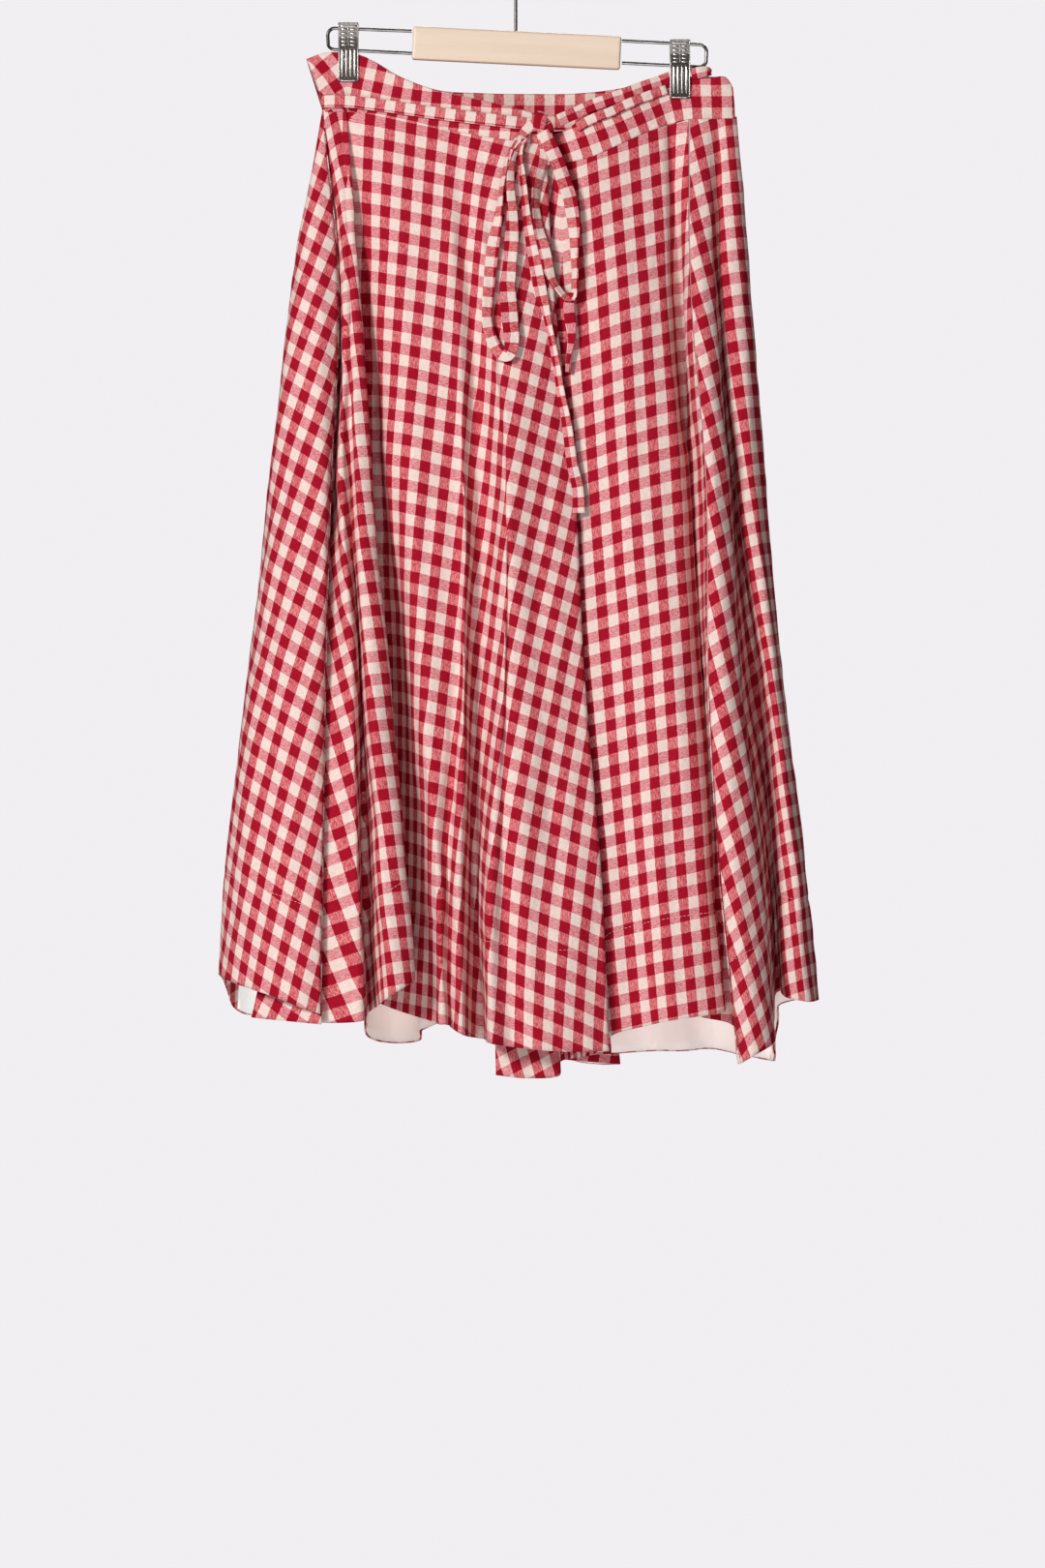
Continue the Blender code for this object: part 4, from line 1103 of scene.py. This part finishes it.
tailLong = {
    "checkStart": (0.0, 0.006), "seed": 95,
    "stations": (
        (9, 17, 5, 7, 30), (4.2, 25, 5, 7.6, 56), (3.3, 37.5, 5, 8, 62), (5, 50, 4.8, 8.6, 54),
        (6.8, 66.5, 4.4, 9, 52), (8.5, 83, 4, 9.4, 46), (11, 99.5, 3.6, 9.8, 34),
        (13.4, 112, 3.4, 10.2, 20), (16, 124.5, 3, 10.8, 10), (18.4, 137, 2.8, 11.2, 4),
        (20.8, 149.5, 2.6, 11.4, 0), (23.4, 162, 2.6, 10.4, 10), (26, 175, 2.6, 9, 26),
        (29.5, 190, 2.6, 8, 36), (33.2, 209, 2.6, 8.4, 34), (38, 239, 2.6, 8.5, 26),
        (43.5, 265, 2.6, 9, 12), (48.5, 300, 2.6, 9.5, 0), (53, 320, 2.6, 10, 0),
        (54, 341, 2.6, 10.5, 0),
    ),
}

tailShort = {
    "checkStart": (0.0, 0.0), "seed": 97,
    "stations": (
        (47, 152, 5.4, 7, 30), (45.5, 164, 5, 9.6, 0), (46.8, 176, 4.4, 9.6, -4),
        (47.6, 187, 3.8, 8, 14), (46.6, 197, 3.4, 6.4, 30), (44.6, 208, 3, 5, 40),
        (43.6, 220, 2.8, 4, 44),
    ),
}

tie = {
    "thick": 0.0015,
    "cell": 0.0025,
    "faceSteps": 6,
    "roundSteps": 3,
    "flutter": (0.00035, 0.012),      # height and spacing of the waves along its middle
    "pucker": (0.0004, 0.009),        # and of the small ones across it
    "firstUnder": 14,                 # first fold line of the over panel behind the bow
    "underSteps": 6,
}


def overSurface(x, drop):
    # y of the over panel under a point of the garment, level with its free edge beyond it
    at = np.array([drop])
    points = [onGarment(follow(xDrops, xs, at), at, follow(depthDrops, depths, at))
              for xs, depths, _, _, _ in overFront["lines"][tie["firstUnder"]:]]
    row = curveThrough(np.array(points), [tie["underSteps"]] * (len(points) - 1))[0]
    return float(np.interp(x / 1000, row[:, 0], row[:, 1]))


def strapRings(middle, side, away, width, checkStart, seed):
    # a flat folded strap with rounded edges, along a run of points
    half, edge = width / 2 - tie["thick"] / 2, tie["thick"] / 2
    run = running(np.linalg.norm(np.diff(middle, axis=0), axis=-1), 0)
    tall, pitch = tie["flutter"]
    flutter = tall * softNoise(run / pitch, np.full_like(run, 3.0), seed)
    tall, pitch = tie["pucker"]
    turns = [math.pi * k / (tie["roundSteps"] + 1) for k in range(1, tie["roundSteps"] + 1)]
    ring = []
    for sign in (1, -1):
        for s in np.linspace(-sign, sign, tie["faceSteps"]):
            pucker = tall * softNoise(run / pitch, np.full_like(run, 4 * s), seed + 1)
            ring.append((s * half, sign * edge + flutter * (1 - s ** 2) + pucker))
        for turn in turns:
            reach = sign * (half + edge * math.sin(turn))
            ring.append((reach, np.full_like(half, sign * edge * math.cos(turn))))
    rings = np.stack([middle + side * across[:, None] + away * out[:, None] for across, out in ring], axis=1)
    around = running(np.linalg.norm(np.diff(rings, axis=1, append=rings[:, :1]), axis=-1), 1)
    along = np.broadcast_to(run[:, None], around.shape)
    return rings, np.stack([along + checkStart[0], around + checkStart[1]], axis=-1)


def makeStrap(name, shape, finish):
    table = np.array(shape["stations"], float)
    upright = "outer" in shape
    if upright:
        knots = onGarment(table[:, 0], table[:, 1], table[:, 2])
        width, turn = np.broadcast_to(shape["width"], len(table)).astype(float), np.zeros(len(table))
    else:
        knots = onGarment(table[:, 0], table[:, 1], 0.0)
        knots[:, 1] = [overSurface(x, drop) for x, drop in table[:, :2]] - table[:, 2] / 1000
        width, turn = table[:, 3], np.radians(table[:, 4])
    spans = np.linalg.norm(np.diff(knots, axis=0), axis=-1)
    counts = [max(2, math.ceil(span / tie["cell"])) for span in spans]
    middle = curveThrough(knots[:, None], counts)[0]
    stations = np.arange(len(knots))
    place = np.interp(np.arange(len(middle)), np.concatenate([[0], np.cumsum(counts)]), stations)
    width = follow(stations, width, place) / 1000
    turn = follow(stations, turn, place)[:, None]
    way = np.gradient(middle, axis=0)
    way /= np.linalg.norm(way, axis=-1, keepdims=True)
    if upright:
        side = np.array([0.0, 0.0, 1.0]) - way * way[:, 2:]
    else:
        side = np.stack([-way[:, 2], np.zeros(len(way)), way[:, 0]], axis=-1)
    side /= np.linalg.norm(side, axis=-1, keepdims=True)
    away = np.cross(side, way) * (shape["outer"] if upright else -1)
    side, away = side * np.cos(turn) + away * np.sin(turn), away * np.cos(turn) - side * np.sin(turn)
    middle = middle - away * tie["thick"] / 2
    strap = strapRings(middle, side, away, width, shape["checkStart"], shape["seed"])
    piece = tubePiece("cloth_" + name, [strap], finish)
    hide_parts(name)
    return piece


def makeTies(finish):
    shapes = {
        "tie_over": tieOver, "tie_under_top": tieUnderTop, "tie_under_low": tieUnderLow, "tie_loop": tieLoop,
        "bow_left": bowLeft, "bow_right": bowRight, "tail_long": tailLong, "tail_short": tailShort}
    made = {name: makeStrap(name, shape, finish) for name, shape in shapes.items()}
    print("ties and bow")
    return made


# wraps of the knot: x, depth and drop of the middle, radii towards the front and up, lean in
# degrees, width, place of its start in the check
knot = {
    "wraps": (
        ((21.0, 22.8, 4.5), (4.4, 8.0), 14, 11.5, (0.002, 0.004)),
        ((25.5, 21.0, 7.5), (4.0, 7.5), -34, 10.5, (0.008, 0.0)),
    ),
    "steps": 40,
    "pinch": 0.28,            # how much narrower a wrap is where it turns
    "seed": 101,
}


def makeKnot(finish):
    # two short wraps of the tie, pulled tight across each other
    tubes = []
    turn = np.linspace(0, 2 * math.pi, knot["steps"], endpoint=False)[:, None]
    front = np.array([0, -1.0, 0])
    for count, ((x, depth, drop), (deep, tall), lean, wide, start) in enumerate(knot["wraps"]):
        tilt = math.radians(lean)
        up = np.array([math.sin(tilt), 0.0, math.cos(tilt)])
        side = np.array([math.cos(tilt), 0.0, -math.sin(tilt)])
        away = front * np.cos(turn) + up * np.sin(turn)
        oval = front * (deep / 1000) * np.cos(turn) + up * (tall / 1000) * np.sin(turn)
        middle = onGarment(x, drop, depth) + oval
        width = wide / 1000 * (1 - knot["pinch"] * np.sin(turn[:, 0]) ** 2)
        rings, places = strapRings(middle, np.broadcast_to(side, middle.shape), away, width, start,
                                   knot["seed"] + count)
        last = places[-1:] + (places[-1:] - places[-2:-1])
        tubes.append((rings, np.concatenate([places, last])))
    piece = tubePiece("cloth_knot", tubes, finish)
    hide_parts("knot")
    return piece


def grainTree():
    # small rounded grains set end to end along lines
    tree = bpy.data.node_groups.new("grains along lines", "GeometryNodeTree")
    tree.interface.new_socket(name="lines", in_out="INPUT", socket_type="NodeSocketGeometry")
    for name in ("pitch", "length", "width", "height", "spread"):
        tree.interface.new_socket(name=name, in_out="INPUT", socket_type="NodeSocketFloat")
    tree.interface.new_socket(name="seed", in_out="INPUT", socket_type="NodeSocketInt")
    tree.interface.new_socket(name="finish", in_out="INPUT", socket_type="NodeSocketMaterial")
    tree.interface.new_socket(name="grains", in_out="OUTPUT", socket_type="NodeSocketGeometry")

    def node(kind, settings, sockets):
        return addNode(tree, kind, settings, sockets)

    given = node("NodeGroupInput", {}, {}).outputs
    curve = node("GeometryNodeMeshToCurve", {}, {"Mesh": given["lines"]})
    spots = node("GeometryNodeResampleCurve", {"mode": "LENGTH"}, {
        "Curve": curve.outputs[0], "Length": given["pitch"]})
    tangent = node("GeometryNodeInputTangent", {}, {})
    turn = node("FunctionNodeAlignRotationToVector", {"axis": "X"}, {"Vector": tangent.outputs[0]})
    grain = node("GeometryNodeMeshUVSphere", {}, {"Segments": 8, "Rings": 5, "Radius": 0.5})
    size = node("ShaderNodeCombineXYZ", {}, {
        "X": given["length"], "Y": given["width"], "Z": given["height"]})
    low = node("ShaderNodeMath", {"operation": "SUBTRACT"}, {0: 1.0, 1: given["spread"]})
    chance = node("FunctionNodeRandomValue", {"data_type": "FLOAT"}, {
        "Min": low.outputs[0], "Max": 1.0, "Seed": given["seed"]})
    scale = node("ShaderNodeVectorMath", {"operation": "SCALE"}, {
        0: size.outputs[0], "Scale": chance.outputs[1]})
    placed = node("GeometryNodeInstanceOnPoints", {}, {
        "Points": spots.outputs[0], "Instance": grain.outputs["Mesh"],
        "Rotation": turn.outputs[0], "Scale": scale.outputs[0]})
    real = node("GeometryNodeRealizeInstances", {}, {"Geometry": placed.outputs[0]})
    dyed = node("GeometryNodeSetMaterial", {}, {"Geometry": real.outputs[0], "Material": given["finish"]})
    node("NodeGroupOutput", {}, {"grains": dyed.outputs[0]})
    return tree


def makeGrains(name, tree, lines, sizes, finish):
    points = np.concatenate(lines)
    edges, base = [], 0
    for line in lines:
        edges += [(base + k, base + k + 1) for k in range(len(line) - 1)]
        base += len(line)
    guide = bpy.data.meshes.new(name + "_lines")
    guide.from_pydata(points.tolist(), edges, [])
    holder = bpy.data.objects.new(name, guide)
    bpy.context.scene.collection.objects.link(holder)
    maker = holder.modifiers.new("grains", "NODES")
    maker.node_group = tree
    for socket in tree.interface.items_tree:
        if socket.in_out == "INPUT" and socket.name in sizes:
            maker[socket.identifier] = sizes[socket.name]
        elif socket.in_out == "INPUT" and socket.name == "finish":
            maker[socket.identifier] = finish
    bpy.context.view_layer.update()
    mesh = bpy.data.meshes.new_from_object(holder.evaluated_get(bpy.context.evaluated_depsgraph_get()))
    holder.modifiers.clear()
    holder.data = mesh
    mesh.shade_smooth()
    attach(holder, "root")
    return holder


def makeHemStitches(panels, tree, finish):
    lines = []
    for panel in panels.values():
        net, away = panel["net"], outward(panel["net"], panel["facing"])
        steps = np.linalg.norm(np.diff(net, axis=0), axis=-1)
        up = np.concatenate([np.cumsum(steps[::-1], axis=0)[::-1], np.zeros((1, net.shape[1]))])
        line = []
        for column in range(1, net.shape[1] - 1):
            row = np.interp(-hem["deep"], -up[:, column], np.arange(len(up)))
            k, share = int(row), row - int(row)
            spot = net[k, column] * (1 - share) + net[k + 1, column] * share
            line.append(spot + away[k, column] * hem["lift"])
        lines.append(np.array(line))
    piece = makeGrains("hem_stitches", tree, lines, {
        "pitch": hem["pitch"], "length": hem["length"], "width": hem["thread"], "height": hem["thread"],
        "spread": hem["spread"], "seed": hem["seed"]}, finish)
    print("hem stitches", len(piece.data.polygons))
    return piece


# pressed marks on the clips, in millimetres: heights over the lip, distances from the middle
clipFace = {
    # rows of grains: name, heights, reach to each side, pitch, size of one grain
    "grains": (
        ("ribs_", (44.8, 41.3, 37.9, 34.6, 31.6), 3.8, 7.6, (6.6, 1.9, 1.9)),
        ("dots_", (30.0, 3.0), 5.4, 3.6, (1.3, 1.3, 0.6)),
    ),
    # raised rods: from and to (across, height), width, how proud, steps, whether the ends taper
    "rods": (
        *(((x, 4.2), (x, 28.4), 2.5, 2.2, 14, True) for x in (-5.4, -1.8, 1.8, 5.4)),      # flutes
        *(((x, 1.0), (x, 49.4), 1.1, 1.2, 20, False) for x in (-8.2, 8.2)),      # side rims
        ((0.0, 30.8), (0.0, 46.4), 1.3, 1.4, 8, False),      # spine through the ribs
        *(((-8.0, z), (8.0, z), 1.4, 1.3, 6, False) for z in (1.0, 47.4)),      # rims of lip and top
    ),
    "taper": (0.28, 0.35),
    "hair": 0.01,             # taken off a pitch, so that its last grain isn't lost
    "sides": 10,
}

# clips: x of the middle and height of the lip, in millimetres
clips = {"left": (-144.0, -143.6), "right": (141.4, -158.1)}


def roundRod(path, widths, heights):
    # a rod of oval section, whose height points to the front
    away = np.array([0, -1.0, 0])
    way = np.gradient(path, axis=0)
    way /= np.linalg.norm(way, axis=-1, keepdims=True)
    side = np.cross(way, away)
    side /= np.linalg.norm(side, axis=-1, keepdims=True)
    turn = np.linspace(0, 2 * math.pi, clipFace["sides"], endpoint=False)
    rings = (path[:, None] + side[:, None] * (np.cos(turn)[None, :, None] * widths[:, None, None] / 2)
             + away * (np.sin(turn)[None, :, None] * heights[:, None, None] / 2))
    return rings, np.zeros((len(path), len(turn) + 1, 2))


def makeClipFaces(tree, finish, shadedDotFinish):
    graph = bpy.context.evaluated_depsgraph_get()
    for name, (middle, lip) in clips.items():
        plate = BVHTree.FromObject(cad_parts["clip_" + name + "_front"], graph)

        def onPlate(places):
            # points on the plate from places (across, height) over its face
            points = []
            for across, height in places:
                x, z = (middle + across) / 1000, (lip + height) / 1000
                points.append((x, plate.ray_cast(Vector((x, -1.0, z)), Vector((0, 1, 0)))[0].y, z))
            return np.array(points)

        # ribs get the steel with the painted highlight, dots the steel with the painted shade
        for kind, heights, reach, pitch, size in clipFace["grains"]:
            lines = [onPlate([(-reach, height), (reach, height)]) for height in heights]
            makeGrains(kind + name, tree, lines, {
                "pitch": (pitch - clipFace["hair"]) / 1000, "length": size[0] / 1000, "width": size[1] / 1000,
                "height": size[2] / 1000, "spread": 0.0, "seed": 1},
                finish if kind == "ribs_" else shadedDotFinish)
        rods = []
        lead, power = clipFace["taper"]
        for first, last, wide, proud, steps, tapered in clipFace["rods"]:
            taper = np.sin(np.linspace(lead, math.pi - lead, steps)) ** power if tapered else np.ones(steps)
            path = onPlate(np.linspace(first, last, steps))
            rods.append(roundRod(path, wide / 1000 * taper, proud / 1000 * taper))
        # flutes, rims and spine get the steel with the painted highlight
        tubePiece("flutes_" + name, rods, finish)
    print("clip faces")


makeStudio()
ginghamFinish = makeGingham()
liningFinish = makeLiningFinish()
woodFinish = makeWoodFinish()
wireFinish, plateFinish, highlightedRaisedFinish, hollowShadeFinish = [makeSteelFinish(name) for name in steels]

# the hanger keeps its own shape, and every node gets the finish of what it is
finishes = {"hanger_bar": woodFinish, "hanger_hook": wireFinish, "wire": wireFinish, "clip": plateFinish,
            "lining": liningFinish}
for node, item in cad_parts.items():
    finish = next((made for start, made in finishes.items() if node.startswith(start)), ginghamFinish)
    item.data.materials.clear()
    item.data.materials.append(finish)

panels = makePanels(ginghamFinish)
pieces = {name: panel["piece"] for name, panel in panels.items()}
pieces["lining_back"] = makeLining(panels, liningFinish)
pieces.update(makeBands(panels, ginghamFinish))
pieces.update(makeTies(ginghamFinish))
pieces["knot"] = makeKnot(ginghamFinish)
grains = grainTree()
stitches = makeHemStitches(panels, grains, makeThreadFinish())
makeClipFaces(grains, highlightedRaisedFinish, hollowShadeFinish)
